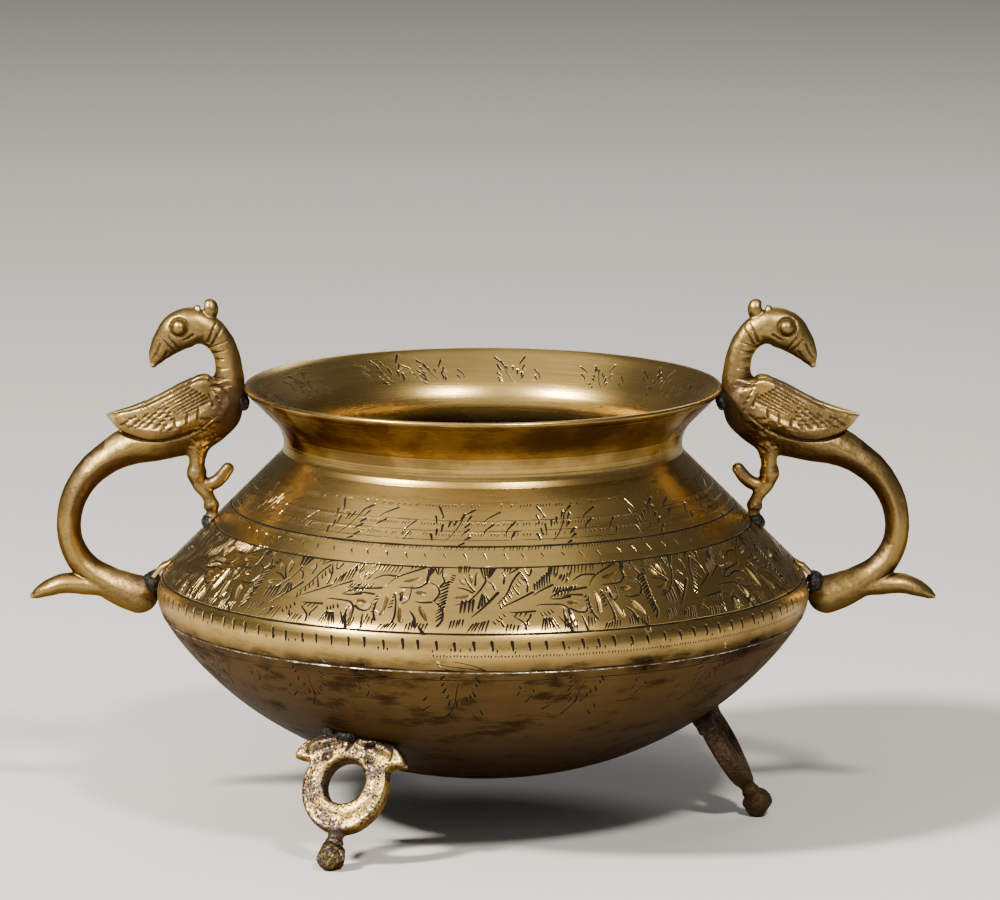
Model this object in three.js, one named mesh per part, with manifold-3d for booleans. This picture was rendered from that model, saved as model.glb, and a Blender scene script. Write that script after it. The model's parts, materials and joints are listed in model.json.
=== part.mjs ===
// Brass urli: a low, wide pot on three ring legs, with two cast peacock handles.
//
// The pot is three brass shells lapped and brazed together: a basin, a sloping shoulder and a flared
// neck. Each handle is one casting, a peacock whose tail arches down to the belly. It is held by
// solder at its claw, by a brass strap at the end of its tail, and by solder where its breast meets
// the rim. Each leg is one casting, a ring under two bird heads, on a ball foot.
//
// Millimetres, +Z up. The origin is on the pot's axis, on the surface that the feet stand on.
// The handles lie along X, and the pot's front is -Y. Touching pieces keep a gap of GAP.
import * as THREE from "three";
import { mergeVertices } from "three/addons/utils/BufferGeometryUtils.js";
import Module from "manifold-3d";

const wasm = await Module();
wasm.setup();

// ---- Driving dimensions ----
const GAP = 0.3;
const WALL = 1.8;
const BASE_HEIGHT = 17; // the lowest point of the basin
const BELLY_RADIUS = 117.5;
const BELLY_HEIGHT = 82;
const BELLY_ROUND = 14; // radius of the turn from basin to shoulder
const BELLY_SEAM_ANGLE = -Math.PI / 6; // where the basin ends, on that turn
const SLOPE = Math.PI / 4; // the shoulder and the flare of the rim both slope at this angle
const NECK_RADIUS = 71.6;
const NECK_HEIGHT = 136; // the narrowest point of the neck
const NECK_ROUND = 14;
const NECK_FILLET = 5.5;
const RIM_RADIUS = 85.6;
const LAP = 6; // how far a skirt runs inside the shell below it
const SKIRT = 1.2;
const BRAZE_LENGTH = 2.5;
const TURN_STEPS = 48; // segments in one turn of a shell

// Each leg is soldered on by hand, so the feet are not quite on one circle, and a leg can face a
// little to one side. An angle is counted from +X, and reach is from the axis to the foot's centre.
const LEGS = {
  leg_right: { reach: 99.4, angle: -3, facing: -4 },
  leg_back_left: { reach: 101, angle: 118, facing: 117 },
  leg_front_left: { reach: 106, angle: 240, facing: 247 },
};
const LEG_LEAN = 30; // degrees from upright
const FOOT_RADIUS = 5.2;
const FOOT_HEIGHT = 4.9; // a little under the radius, so that each foot is worn flat
const RING_CENTRE = 26.7; // from the foot's centre, up the leg
const RING_HOLE = 7.6;
const LEG_THICKNESS = 7;
const LEG_SOLDER = 1.4; // its thickness between a leg and the basin
const PLATE_BEVEL = 1.3;

const BRASS = new THREE.MeshStandardMaterial({ color: 0xb0904f, metalness: 1, roughness: 0.34 });
const CAST_BRASS = new THREE.MeshStandardMaterial({ color: 0xa68a55, metalness: 1, roughness: 0.42 });
const SOLDER = new THREE.MeshStandardMaterial({ color: 0x3a352e, metalness: 1, roughness: 0.7 });
const BRAZE = new THREE.MeshStandardMaterial({ color: 0xc9b27a, metalness: 1, roughness: 0.5 });

// ---- Solids and meshes ----
function solidOf(geometry) {
  const bare = geometry.index ? geometry.toNonIndexed() : geometry.clone();
  bare.deleteAttribute("normal");
  bare.deleteAttribute("uv");
  const merged = mergeVertices(bare, 1e-4);
  const solid = new wasm.Manifold(
    new wasm.Mesh({
      numProp: 3,
      vertProperties: merged.attributes.position.array,
      triVerts: new Uint32Array(merged.index.array),
    }),
  );
  if (solid.volume() <= 0) throw new Error("a solid is inside out");
  return solid;
}

function meshOf(name, solid, material) {
  const { vertProperties, triVerts } = solid.getMesh();
  const geometry = new THREE.BufferGeometry()
    .setAttribute("position", new THREE.BufferAttribute(vertProperties, 3))
    .setIndex(new THREE.BufferAttribute(triVerts, 1));
  geometry.computeVertexNormals();
  const mesh = new THREE.Mesh(geometry, material);
  mesh.name = name;
  return mesh;
}

const union = (solids) => solids.reduce((sum, solid) => sum.add(solid));

// ---- The pot's outer profile, from the axis at the bottom to the rim ----
function pointOnArc(centreR, centreZ, radius, angle) {
  return new THREE.Vector2(centreR + radius * Math.cos(angle), centreZ + radius * Math.sin(angle));
}

const seamPoint = pointOnArc(BELLY_RADIUS - BELLY_ROUND, BELLY_HEIGHT, BELLY_ROUND, BELLY_SEAM_ANGLE);
const profile = new THREE.Path()
  .moveTo(0, BASE_HEIGHT)
  .splineThru([
    new THREE.Vector2(30, BASE_HEIGHT + 2.2),
    new THREE.Vector2(57, BASE_HEIGHT + 10),
    new THREE.Vector2(82, BASE_HEIGHT + 23.5),
    new THREE.Vector2(101, BASE_HEIGHT + 39.5),
    seamPoint,
  ])
  .absarc(BELLY_RADIUS - BELLY_ROUND, BELLY_HEIGHT, BELLY_ROUND, BELLY_SEAM_ANGLE, SLOPE, false)
  .absarc(NECK_RADIUS + NECK_FILLET, NECK_HEIGHT, NECK_FILLET, Math.PI + SLOPE, Math.PI, true)
  .absarc(NECK_RADIUS + NECK_ROUND, NECK_HEIGHT, NECK_ROUND, Math.PI, Math.PI - SLOPE, true);
const flareStart = profile.currentPoint;
const rimRun = RIM_RADIUS - flareStart.x;
profile.lineTo(RIM_RADIUS, flareStart.y + rimRun / Math.tan(SLOPE));

// Curves of the profile in order: basin, belly turn, shoulder slope, neck fillet, neck, flare.
const STEPS_PER_CURVE = [10, 6, 1, 3, 5, 1];
const curveEnds = profile.getCurveLengths();
const profileLength = profile.getLength();
const BELLY_SEAM = curveEnds[0];
const NECK_SEAM = curveEnds[2];

// Distances along the profile, from one to another, with a step at every bend.
function stops(from, to) {
  const inner = STEPS_PER_CURVE.flatMap((count, curve) => {
    const start = curve ? curveEnds[curve - 1] : 0;
    const step = (curveEnds[curve] - start) / count;
    return Array.from({ length: count }, (_, i) => start + step * (i + 1));
  });
  return [from, ...inner.filter((s) => s > from + 0.5 && s < to - 0.5), to];
}

// The profile at a distance along it, moved into the pot by depth. A negative depth is outside.
function onProfile(s, depth) {
  const u = THREE.MathUtils.clamp(s / profileLength, 0, 1);
  const tangent = profile.getTangentAt(u);
  const point = profile.getPointAt(u);
  if (s < 1e-6) tangent.set(1, 0);
  return new THREE.Vector2(point.x - tangent.y * depth, point.y + tangent.x * depth);
}

const along = (distances, depth) => distances.map((s) => onProfile(s, depth));

function revolve(points, closed) {
  const outline = closed ? [...points, points[0]] : points;
  return solidOf(new THREE.LatheGeometry(outline, TURN_STEPS).rotateX(Math.PI / 2));
}

// The whole pot as a solid, grown by a margin: it clears or trims what is fixed to the outside.
function potGrownBy(margin) {
  const outside = along(stops(0, profileLength), -margin);
  const top = outside[outside.length - 1];
  return revolve([...outside, new THREE.Vector2(0, top.y)], false);
}

// A shell from one seam to another. Its skirt runs down inside the shell below it.
function shellWithSkirt(from, to) {
  const skirtOutside = WALL + GAP;
  const skirtInside = skirtOutside + SKIRT;
  return [
    ...along(stops(from, to), 0),
    ...along(stops(from + LAP / 2, to), WALL).reverse(),
    ...along([from, from - LAP / 2, from - LAP], skirtInside),
    ...along([from - LAP, from - LAP / 2, from], skirtOutside),
  ];
}

// The braze that closes a lap on the inside, against the end of the skirt.
function brazeFillet(seam) {
  const start = seam - LAP - GAP;
  return [
    onProfile(start, WALL + GAP),
    onProfile(start, WALL + GAP + SKIRT),
    onProfile(start - BRAZE_LENGTH, WALL + GAP),
  ];
}

function basin() {
  const distances = stops(0, BELLY_SEAM - GAP);
  return revolve([...along(distances, 0), ...along(distances, WALL).reverse()], false);
}

function shoulder() {
  return revolve(shellWithSkirt(BELLY_SEAM, NECK_SEAM - GAP), true);
}

// The rim's lip is rounded over: one more point stands out past the middle of the wall.
function neckAndRim() {
  const outline = shellWithSkirt(NECK_SEAM, profileLength);
  const outward = new THREE.Vector2(Math.sin(SLOPE), Math.cos(SLOPE)).multiplyScalar(WALL / 2);
  const lip = onProfile(profileLength, WALL / 2).add(outward);
  outline.splice(stops(NECK_SEAM, profileLength).length, 0, lip);
  return revolve(outline, true);
}

// ---- Lofted castings ----
// A loft is a cylinder bent along stations in the XZ plane. Each station is the centre's x and z,
// the half height across the path and the half width along Y.
function loft(stations, sides, stepsPerSpan = 1) {
  const spans = stations.length - 1;
  const centres = new THREE.CatmullRomCurve3(stations.map(([x, z]) => new THREE.Vector3(x, 0, z)));
  const sizes = new THREE.CatmullRomCurve3(stations.map(([, , h, w]) => new THREE.Vector3(h, w, 0)));
  const tube = new THREE.CylinderGeometry(1, 1, 1, sides, spans * stepsPerSpan);
  const position = tube.attributes.position;
  const vertex = new THREE.Vector3();
  for (let i = 0; i < position.count; i++) {
    vertex.fromBufferAttribute(position, i);
    const t = THREE.MathUtils.clamp(vertex.y + 0.5, 0, 1);
    const centre = centres.getPoint(t);
    const tangent = centres.getTangent(t);
    const size = sizes.getPoint(t);
    const across = vertex.x * size.x;
    centre.x += -tangent.z * across;
    centre.z += tangent.x * across;
    position.setXYZ(i, centre.x, vertex.z * size.y, centre.z);
  }
  return solidOf(tube);
}

function ellipsoid([x, y, z], [rx, ry, rz], detail = 8) {
  const ball = new THREE.SphereGeometry(1, detail, detail - 2);
  return solidOf(ball.scale(rx, ry, rz).translate(x, y, z));
}

// ---- The peacock handle, on the +X side ----
const BODY_AND_TAIL = [
  [86.6, 152.5, 2, 2.4],
  [90.5, 151, 7.8, 6.4],
  [96, 148.6, 10.6, 8.4],
  [103, 145.2, 12, 9.2],
  [111, 141.4, 10.8, 8.6],
  [119, 138, 9, 7.6],
  [127, 135, 7.2, 6.6],
  [134, 131.2, 6, 5.8],
  [140.3, 126.4, 5.4, 5.4],
  [145, 120.6, 4.9, 5.2],
  [148, 114, 4.6, 5],
  [149.2, 107, 4.4, 4.9],
  [148.4, 100, 4.5, 4.9],
  [145.6, 93.8, 4.8, 5],
  [141, 88.8, 5.3, 5.2],
  [135, 85, 6, 5.4],
  [129, 82.2, 6.7, 5.6],
  [124, 80.6, 7, 5.6],
  [120.2, 80.2, 5.6, 4.8],
];
const TAIL_TIP = [
  [137, 83, 3, 4],
  [144, 84.4, 3.9, 4.9],
  [151, 84.6, 3.7, 4.8],
  [157, 82.8, 3, 4.2],
  [161.4, 80.6, 1.9, 2.8],
  [163.5, 79.4, 0.7, 1.2],
];
const NECK_AND_HEAD = [
  [93, 150, 7, 6.4],
  [91.4, 157, 5.9, 5.2],
  [91.2, 163, 4.9, 4.5],
  [92.2, 168.6, 4.6, 4.2],
  [94.9, 173.6, 4.9, 4.3],
  [99.2, 177.2, 5.7, 4.8],
  [104.4, 178.2, 7, 5.4],
  [109.2, 176.4, 7, 5.3],
  [113.2, 172.8, 5.7, 4.4],
  [116, 169.2, 4.2, 3.2],
  [118, 165.8, 2.6, 2.1],
  [118.8, 163.8, 0.9, 0.9],
];
const WINGS = [
  [92.4, 153, 1.6, 6.4],
  [96, 152.6, 6.2, 9],
  [101, 151, 8.6, 10.4],
  [108, 149, 9.2, 10.8],
  [116, 146.2, 7.6, 10],
  [124, 144.6, 5.2, 8],
  [130.4, 144.8, 2.8, 4.8],
  [134.4, 145.8, 0.8, 1.2],
];
const LEG_AND_CLAW = [
  [102.4, 136, 4.6, 5.4],
  [102.8, 130, 3, 3.6],
  [103.2, 125, 2.7, 3],
  [102.2, 121, 2.6, 2.8],
  [99.8, 118, 2.4, 2.7],
  [98.4, 115.4, 2.3, 2.5],
  [97.8, 113, 2.8, 3],
  [97.5, 111, 2.2, 2.5],
  [97.6, 108.8, 2.6, 3],
  [97.8, 106.6, 2.6, 3],
];
const SPUR = [
  [101.6, 120.8, 2, 2.2],
  [97.4, 121.4, 2.2, 2.3],
  [94.4, 123.6, 2.1, 2.1],
  [92.2, 126.6, 1.8, 1.8],
  [91, 129, 0.9, 1],
];
const EYE = { x: 109, y: 4, z: 178.2, radius: 2.7 };
const CREST = [
  { at: [98.2, 0, 185], size: [2.3, 2.2, 3.4] },
  { at: [101.4, 0, 184.8], size: [1.3, 1.5, 1.8] },
];
// Solder at the claw, at the end of the tail and under the rim. Each trims the handle around it.
const CLAW_SOLDER = { at: [98, 0, 107.6], size: [3.6, 4.2, 3] };
const TAIL_SOLDER = { at: [119, 0, 84.6], size: [2.8, 4.2, 3] };
const RIM_SOLDER = { at: [85.4, 0, 151.6], size: [2.2, 3.6, 3] };
const STRAP = { start: [112.6, 93.9], length: 10.6, width: 7, thickness: 1.6 };

const grownPot = potGrownBy(GAP);

function blob({ at, size }, margin, detail) {
  return ellipsoid(at, size.map((radius) => radius + margin), detail);
}

// The strap that ties the tail's end to the shoulder: it lies on the slope and runs on past it.
function strap(margin) {
  const { start, length, width, thickness } = STRAP;
  const box = new THREE.BoxGeometry(length + 2 * margin, width + 2 * margin, thickness + 2 * margin)
    .translate(length / 2, 0, thickness / 2)
    .rotateY(SLOPE)
    .translate(start[0], 0, start[1]);
  return solidOf(box);
}

function peacockHandle() {
  const eyes = [-1, 1].map((side) =>
    ellipsoid([EYE.x, side * EYE.y, EYE.z], [EYE.radius, EYE.radius * 0.8, EYE.radius]),
  );
  const casting = union([
    loft(BODY_AND_TAIL, 14),
    loft(TAIL_TIP, 10),
    loft(NECK_AND_HEAD, 12, 2),
    loft(WINGS, 14, 2),
    loft(LEG_AND_CLAW, 8),
    loft(SPUR, 8),
    ...eyes,
    ...CREST.map((lobe) => blob(lobe, 0)),
  ]);
  const trims = [CLAW_SOLDER, TAIL_SOLDER, RIM_SOLDER].map((solder) => blob(solder, GAP, 10));
  return [grownPot, strap(GAP), ...trims].reduce((solid, trim) => solid.subtract(trim), casting);
}

// Parts of the +X side, each as [name, solid, material].
function handleParts() {
  return [
    ["peacock_handle", peacockHandle(), CAST_BRASS],
    ["tail_strap", strap(0).subtract(grownPot), BRASS],
    ["claw_solder", blob(CLAW_SOLDER, 0, 10).subtract(grownPot), SOLDER],
    ["tail_solder", blob(TAIL_SOLDER, 0, 10).subtract(grownPot).subtract(strap(GAP)), SOLDER],
    ["rim_solder", blob(RIM_SOLDER, 0, 10).subtract(grownPot), SOLDER],
  ];
}

// ---- The legs ----
// Half of the plate's outline, in the leg's own plane: u across it, v up it from the foot's centre.
const HALF_PLATE = [
  [3.2, 8.6],
  [8.2, 10.6],
  [12.4, 14.8],
  [15.2, 20.6],
  [15.8, 27.4],
  [14.6, 32.6],
  [16.6, 34], // under the beak
  [20.6, 35], // the tip of the beak
  [18.4, 39.8],
  [12.6, 43],
  [5, 44.2],
];

function legOutline() {
  const points = HALF_PLATE.map(([u, v]) => new THREE.Vector2(u, v));
  const mirrored = HALF_PLATE.map(([u, v]) => new THREE.Vector2(-u, v)).reverse();
  const outline = new THREE.Shape([...points, ...mirrored]);
  outline.holes.push(new THREE.Path().absarc(0, RING_CENTRE, RING_HOLE, 0, 2 * Math.PI, true));
  return outline;
}

// Stands a piece drawn in a leg's plane on its foot: v leans towards the pot as it goes up.
function stand(geometry, { reach, angle, facing }) {
  return geometry
    .rotateX(Math.PI / 2)
    .rotateZ(Math.PI / 2)
    .rotateY(THREE.MathUtils.degToRad(-LEG_LEAN))
    .rotateZ(THREE.MathUtils.degToRad(facing - angle))
    .translate(reach, 0, FOOT_HEIGHT)
    .rotateZ(THREE.MathUtils.degToRad(angle));
}

function legPlate() {
  const depth = LEG_THICKNESS - 2 * PLATE_BEVEL;
  return new THREE.ExtrudeGeometry(legOutline(), {
    depth,
    curveSegments: 12,
    bevelThickness: PLATE_BEVEL,
    bevelSize: PLATE_BEVEL,
    bevelOffset: -PLATE_BEVEL,
    bevelSegments: 1,
  }).translate(0, 0, -depth / 2);
}

function ballFoot() {
  const neckRadius = 2.9;
  const outline = [
    new THREE.Vector2(0, -FOOT_RADIUS),
    ...[-60, -30, 0, 30, 52].map((degrees) =>
      pointOnArc(0, 0, FOOT_RADIUS, THREE.MathUtils.degToRad(degrees)),
    ),
    new THREE.Vector2(neckRadius, 6.2),
    new THREE.Vector2(neckRadius + 1.4, 9.6),
    new THREE.Vector2(0, 11),
  ];
  return new THREE.LatheGeometry(outline, 14);
}

const footFloor = solidOf(new THREE.BoxGeometry(300, 300, 20).translate(0, 0, -10));
const potAndSolder = potGrownBy(2 * GAP + LEG_SOLDER);
const solderLayer = potGrownBy(GAP + LEG_SOLDER).subtract(grownPot);

function leg(place) {
  const casting = solidOf(stand(legPlate(), place)).add(solidOf(stand(ballFoot(), place)));
  return casting.subtract(potAndSolder).subtract(footFloor);
}

// The solder fills the slot between the top of a leg and the basin.
function legSolder(place) {
  const block = new THREE.BoxGeometry(24, 24, LEG_THICKNESS + 3).translate(0, 38, 0);
  return solidOf(stand(block, place)).intersect(solderLayer);
}

// ---- Assembly ----
const urli = new THREE.Group();

urli.add(meshOf("basin", basin(), BRASS));
urli.add(meshOf("shoulder", shoulder(), BRASS));
urli.add(meshOf("neck_and_rim", neckAndRim(), BRASS));
urli.add(meshOf("belly_seam_braze", revolve(brazeFillet(BELLY_SEAM), true), BRAZE));
urli.add(meshOf("neck_seam_braze", revolve(brazeFillet(NECK_SEAM), true), BRAZE));

const parts = handleParts();
for (const [side, mirror] of [
  ["right", 1],
  ["left", -1],
]) {
  for (const [name, solid, material] of parts) {
    const mesh = meshOf(`${name}_${side}`, solid, material);
    mesh.scale.x = mirror;
    urli.add(mesh);
  }
}

for (const [name, place] of Object.entries(LEGS)) {
  urli.add(meshOf(name, leg(place), CAST_BRASS));
  urli.add(meshOf(`${name}_solder`, legSolder(place), SOLDER));
}

export default urli;
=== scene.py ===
"""Brass urli bowl: a spun pot with hand-cut engraving, two cast peacock handles and three ring legs.

Lengths are in millimetres in the pot's own frame and become metres when a mesh is made. An angle
called turn runs round the pot from its front, -Y, towards +X.
"""
import json
import math

import bpy
import numpy as np
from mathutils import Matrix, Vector
from mathutils.geometry import delaunay_2d_cdt


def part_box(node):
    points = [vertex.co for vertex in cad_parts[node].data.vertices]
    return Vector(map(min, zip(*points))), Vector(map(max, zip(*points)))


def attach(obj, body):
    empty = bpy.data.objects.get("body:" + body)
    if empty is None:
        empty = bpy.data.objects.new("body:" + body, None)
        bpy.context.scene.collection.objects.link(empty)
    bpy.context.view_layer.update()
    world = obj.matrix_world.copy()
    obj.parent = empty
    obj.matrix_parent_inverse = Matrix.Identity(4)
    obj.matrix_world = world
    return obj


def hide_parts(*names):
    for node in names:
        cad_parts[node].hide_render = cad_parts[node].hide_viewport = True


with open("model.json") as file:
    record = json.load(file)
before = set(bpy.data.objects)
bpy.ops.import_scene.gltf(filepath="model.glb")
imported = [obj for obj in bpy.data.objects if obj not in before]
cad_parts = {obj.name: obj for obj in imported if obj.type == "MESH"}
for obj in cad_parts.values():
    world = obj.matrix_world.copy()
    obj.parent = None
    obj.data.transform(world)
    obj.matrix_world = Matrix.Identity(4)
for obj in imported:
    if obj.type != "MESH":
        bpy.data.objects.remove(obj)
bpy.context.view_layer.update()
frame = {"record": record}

MM = 0.001
BODY = "root"
LOW, HIGH = 0, 1
SIDES = (("right", 1), ("left", -1))
draw = np.random.RandomState(7)


def corner(node, side):
    """One corner of a CAD node's box, LOW or HIGH, in millimetres."""
    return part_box(node)[side] / MM


# ---- Sizes of the pot ----
WALL = 1.8
SKIRT = 1.2  # how thick the skirt is that an upper shell hangs inside a lower one
GAP = 0.3
LAP = 6.0
BRAZE_LENGTH = 2.5
BASE_HEIGHT = corner("basin", LOW).z
BELLY_RADIUS = corner("shoulder", HIGH).x
RIM_RADIUS = corner("neck_and_rim", HIGH).x
BELLY_HEIGHT = BASE_HEIGHT + 65
BELLY_ROUND = 14.0
BELLY_SEAM_ANGLE = math.radians(-30)
SLOPE = math.radians(45)
NECK_ROUND = 14.0
NECK_RADIUS = RIM_RADIUS - NECK_ROUND
NECK_HEIGHT = BELLY_HEIGHT + 54
NECK_FILLET = 5.5
COLUMNS = 240  # round the pot
BEAD_COLUMNS = 900
FINE_STEP = 0.4


# ---- The pot's section ----
def arc(centre, radius, first, last):
    count = max(2, math.ceil(abs(last - first) * radius / FINE_STEP))
    angles = np.linspace(first, last, count + 1)
    return np.stack([centre[0] + radius * np.cos(angles), centre[1] + radius * np.sin(angles)], 1)


def line(first, last, step=FINE_STEP):
    count = max(1, math.ceil(math.dist(first, last) / step))
    return np.linspace(first, last, count + 1)


def smooth_line(points, step=FINE_STEP, first_direction=None, last_direction=None):
    """A smooth curve through points, as an array. Any number of coordinates."""
    points = np.asarray(points, float)
    if len(points) == 2:
        return line(points[0], points[1], step)
    slopes = np.gradient(points, axis=0)
    if first_direction is not None:
        slopes[0] = np.array(first_direction) * math.dist(points[0], points[1])
    if last_direction is not None:
        slopes[-1] = np.array(last_direction) * math.dist(points[-2], points[-1])
    pieces = [points[:1]]
    for p, q, a, b in zip(points[:-1], points[1:], slopes[:-1], slopes[1:]):
        count = max(1, math.ceil(math.dist(p, q) / step))
        t = np.linspace(0, 1, count + 1)[1:, None]
        hermite = (2 * t**3 - 3 * t**2 + 1) * p + (t**3 - 2 * t**2 + t) * a
        pieces.append(hermite + (3 * t**2 - 2 * t**3) * q + (t**3 - t**2) * b)
    return np.concatenate(pieces)


def joined(*curves):
    """Curves end to end, without the repeated points between them."""
    return np.concatenate([curves[0]] + [curve[1:] for curve in curves[1:]])


class Track:
    """A line of the pot's section with the metal on its left, as an array of (radius, height).

    Each point has its distance along the line, and its height in the chart that engraving is drawn
    on. The chart's other axis is the turn. It keeps angles, so a stroke keeps its shape on it.
    """

    def __init__(self, points):
        self.points = points
        steps = np.linalg.norm(np.diff(points, axis=0), axis=1)
        self.length = np.concatenate([[0], np.cumsum(steps)])
        tangent = np.gradient(points, self.length, axis=0)
        tangent /= np.linalg.norm(tangent, axis=1)[:, None]
        self.normal = np.stack([tangent[:, 1], -tangent[:, 0]], 1)
        middle = np.maximum((points[1:, 0] + points[:-1, 0]) / 2, 1)
        self.chart = np.concatenate([[0], np.cumsum(steps / middle)])

    def _read(self, values, at, where):
        return np.stack([np.interp(where, at, values[:, i]) for i in range(values.shape[1])], -1)

    def at(self, length, depth=0.0):
        """The point at a distance along the line, moved into the metal by depth."""
        return self._read(self.points, self.length, length) - depth * self._read(
            self.normal, self.length, length
        )

    def offset(self, depth):
        return self.points - depth * self.normal

    def length_at_height(self, height):
        """The distance along the line, which rises all the way, where it reaches a height."""
        return float(np.interp(height, self.points[:, 1], self.length))

    def chart_at(self, length):
        return np.interp(length, self.length, self.chart)

    def from_chart(self, height):
        """(points, normals) for heights in the chart."""
        return self._read(self.points, self.chart, height), self._read(self.normal, self.chart, height)


def on_circle(centre, radius, angle):
    return centre[0] + radius * math.cos(angle), centre[1] + radius * math.sin(angle)


belly_centre = (BELLY_RADIUS - BELLY_ROUND, BELLY_HEIGHT)
fillet_centre = (NECK_RADIUS + NECK_FILLET, NECK_HEIGHT)
neck_centre = (NECK_RADIUS + NECK_ROUND, NECK_HEIGHT)
seam_point = on_circle(belly_centre, BELLY_ROUND, BELLY_SEAM_ANGLE)
basin_line = smooth_line(
    [
        (0, BASE_HEIGHT),
        (30, BASE_HEIGHT + 2.2),
        (57, BASE_HEIGHT + 10),
        (82, BASE_HEIGHT + 23.5),
        (101, BASE_HEIGHT + 39.5),
        seam_point,
    ],
    first_direction=(1, 0),
    last_direction=(-math.sin(BELLY_SEAM_ANGLE), math.cos(BELLY_SEAM_ANGLE)),
)
shoulder_line = joined(
    arc(belly_centre, BELLY_ROUND, BELLY_SEAM_ANGLE, SLOPE),
    line(
        on_circle(belly_centre, BELLY_ROUND, SLOPE),
        on_circle(fillet_centre, NECK_FILLET, math.pi + SLOPE),
    ),
)
flare_start = on_circle(neck_centre, NECK_ROUND, math.pi - SLOPE)
flare_run = RIM_RADIUS - flare_start[0]
neck_line = joined(
    arc(fillet_centre, NECK_FILLET, math.pi + SLOPE, math.pi),
    arc(neck_centre, NECK_ROUND, math.pi, math.pi - SLOPE),
    line(flare_start, (RIM_RADIUS, flare_start[1] + flare_run / math.tan(SLOPE))),
)
outside = Track(joined(basin_line, shoulder_line, neck_line))
inside = Track(outside.offset(WALL)[::-1])
BELLY_SEAM = outside.length[len(basin_line) - 1]
NECK_SEAM = outside.length[len(basin_line) + len(shoulder_line) - 2]
RIM = outside.length[-1]


# ---- Engraving ----
THIN = 0.001  # in the chart: a cut thinner than this on each side is only partly black
BOLDNESS = 1.4  # how much wider the cuts are than they were drawn
FINE_TIP = 0.1
STROKE_STEP, VEIN_STEP = 1.6, 1.3
VEIN_FILL, VEIN_BREADTH, VEIN_DEPTH = 0.5, 1.6, 0.66


class Stroke:
    """A cut of the graver: a smooth line in the chart, with its half width at each point.

    Its fill says how dark the old filling is in its middle: black from about a half, up to 2.
    """

    def __init__(self, points, widths, fill=2.0, depth=0.6):
        self.points = np.asarray(points, float)
        self.widths = np.asarray(widths, float)
        self.fill = fill
        self.depth = depth  # of the cut's middle, as a share of its half width

    def goes_round(self):
        return np.ptp(self.points[:, 0]) > 6


def clearance(points, strokes):
    """For each point: how far it is from the nearest cut's edge, and its depth and fill inside one.

    All in the chart's units. A distance is only true near a cut.
    """
    order = np.argsort(points[:, 0])
    across = points[order, 0]
    distance = np.full(len(points), 1.0)
    depth = np.zeros(len(points))
    fill = np.zeros(len(points))
    for stroke in strokes:
        reach = stroke.widths.max() + 0.02
        low, high = stroke.points.min(0) - reach, stroke.points.max(0) + reach
        first, last = np.searchsorted(across, [low[0], high[0]])
        near = order[first:last]
        near = near[(points[near, 1] > low[1]) & (points[near, 1] < high[1])]
        if not len(near):
            continue
        a, b = stroke.points[:-1, None], stroke.points[1:, None]
        wa, wb = stroke.widths[:-1, None], stroke.widths[1:, None]
        run = b - a
        along = ((points[near] - a) * run).sum(2) / np.maximum((run**2).sum(2), 1e-18)
        along = along.clip(0, 1)
        gap = np.linalg.norm(points[near] - a - along[..., None] * run, axis=2)
        width = wa + along * (wb - wa)
        distance[near] = np.minimum(distance[near], (gap - width).min(0))
        cut = (stroke.depth * (width - gap)).max(0).clip(0)
        deeper = cut > depth[near]
        share = ((width - gap) / np.maximum(width, THIN)).max(0).clip(0, 1)
        fill[near[deeper]] = share[deeper] * stroke.fill
        depth[near[deeper]] = cut[deeper]
    return distance, depth, fill


def graver(points, tip, end, fill=2.0, depth=0.6):
    """A stroke in millimetres, from a fine tip to a broad end, as (line, half widths, fill, depth)."""
    curve = smooth_line(points, STROKE_STEP)
    widths = BOLDNESS * (tip + (end - tip) * np.linspace(0, 1, len(curve)) ** 0.65)
    widths[0] = 0
    return curve, widths, fill, depth


def vein(points, width):
    """A broad scooped cut that comes to a point at both ends. It holds little black."""
    curve = smooth_line(points, VEIN_STEP)
    share = np.linspace(0, 1, len(curve))
    widths = VEIN_BREADTH * width * np.sin(math.pi * share**0.8).clip(0) ** 0.7
    return curve, widths, VEIN_FILL, VEIN_DEPTH


def fan(first, last, first_end, last_end, count, width=0.29):
    """Cuts side by side: the first runs from first to first_end and the last from last to last_end."""
    row = []
    for share in np.linspace(0, 1, count):
        start = np.array(first) * (1 - share) + np.array(last) * share
        end = np.array(first_end) * (1 - share) + np.array(last_end) * share
        row.append(graver([start, end], FINE_TIP, width))
    return row


def cuts(width, *lines):
    """Single strokes of one width."""
    return [graver(points, FINE_TIP, width) for points in lines]


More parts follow.
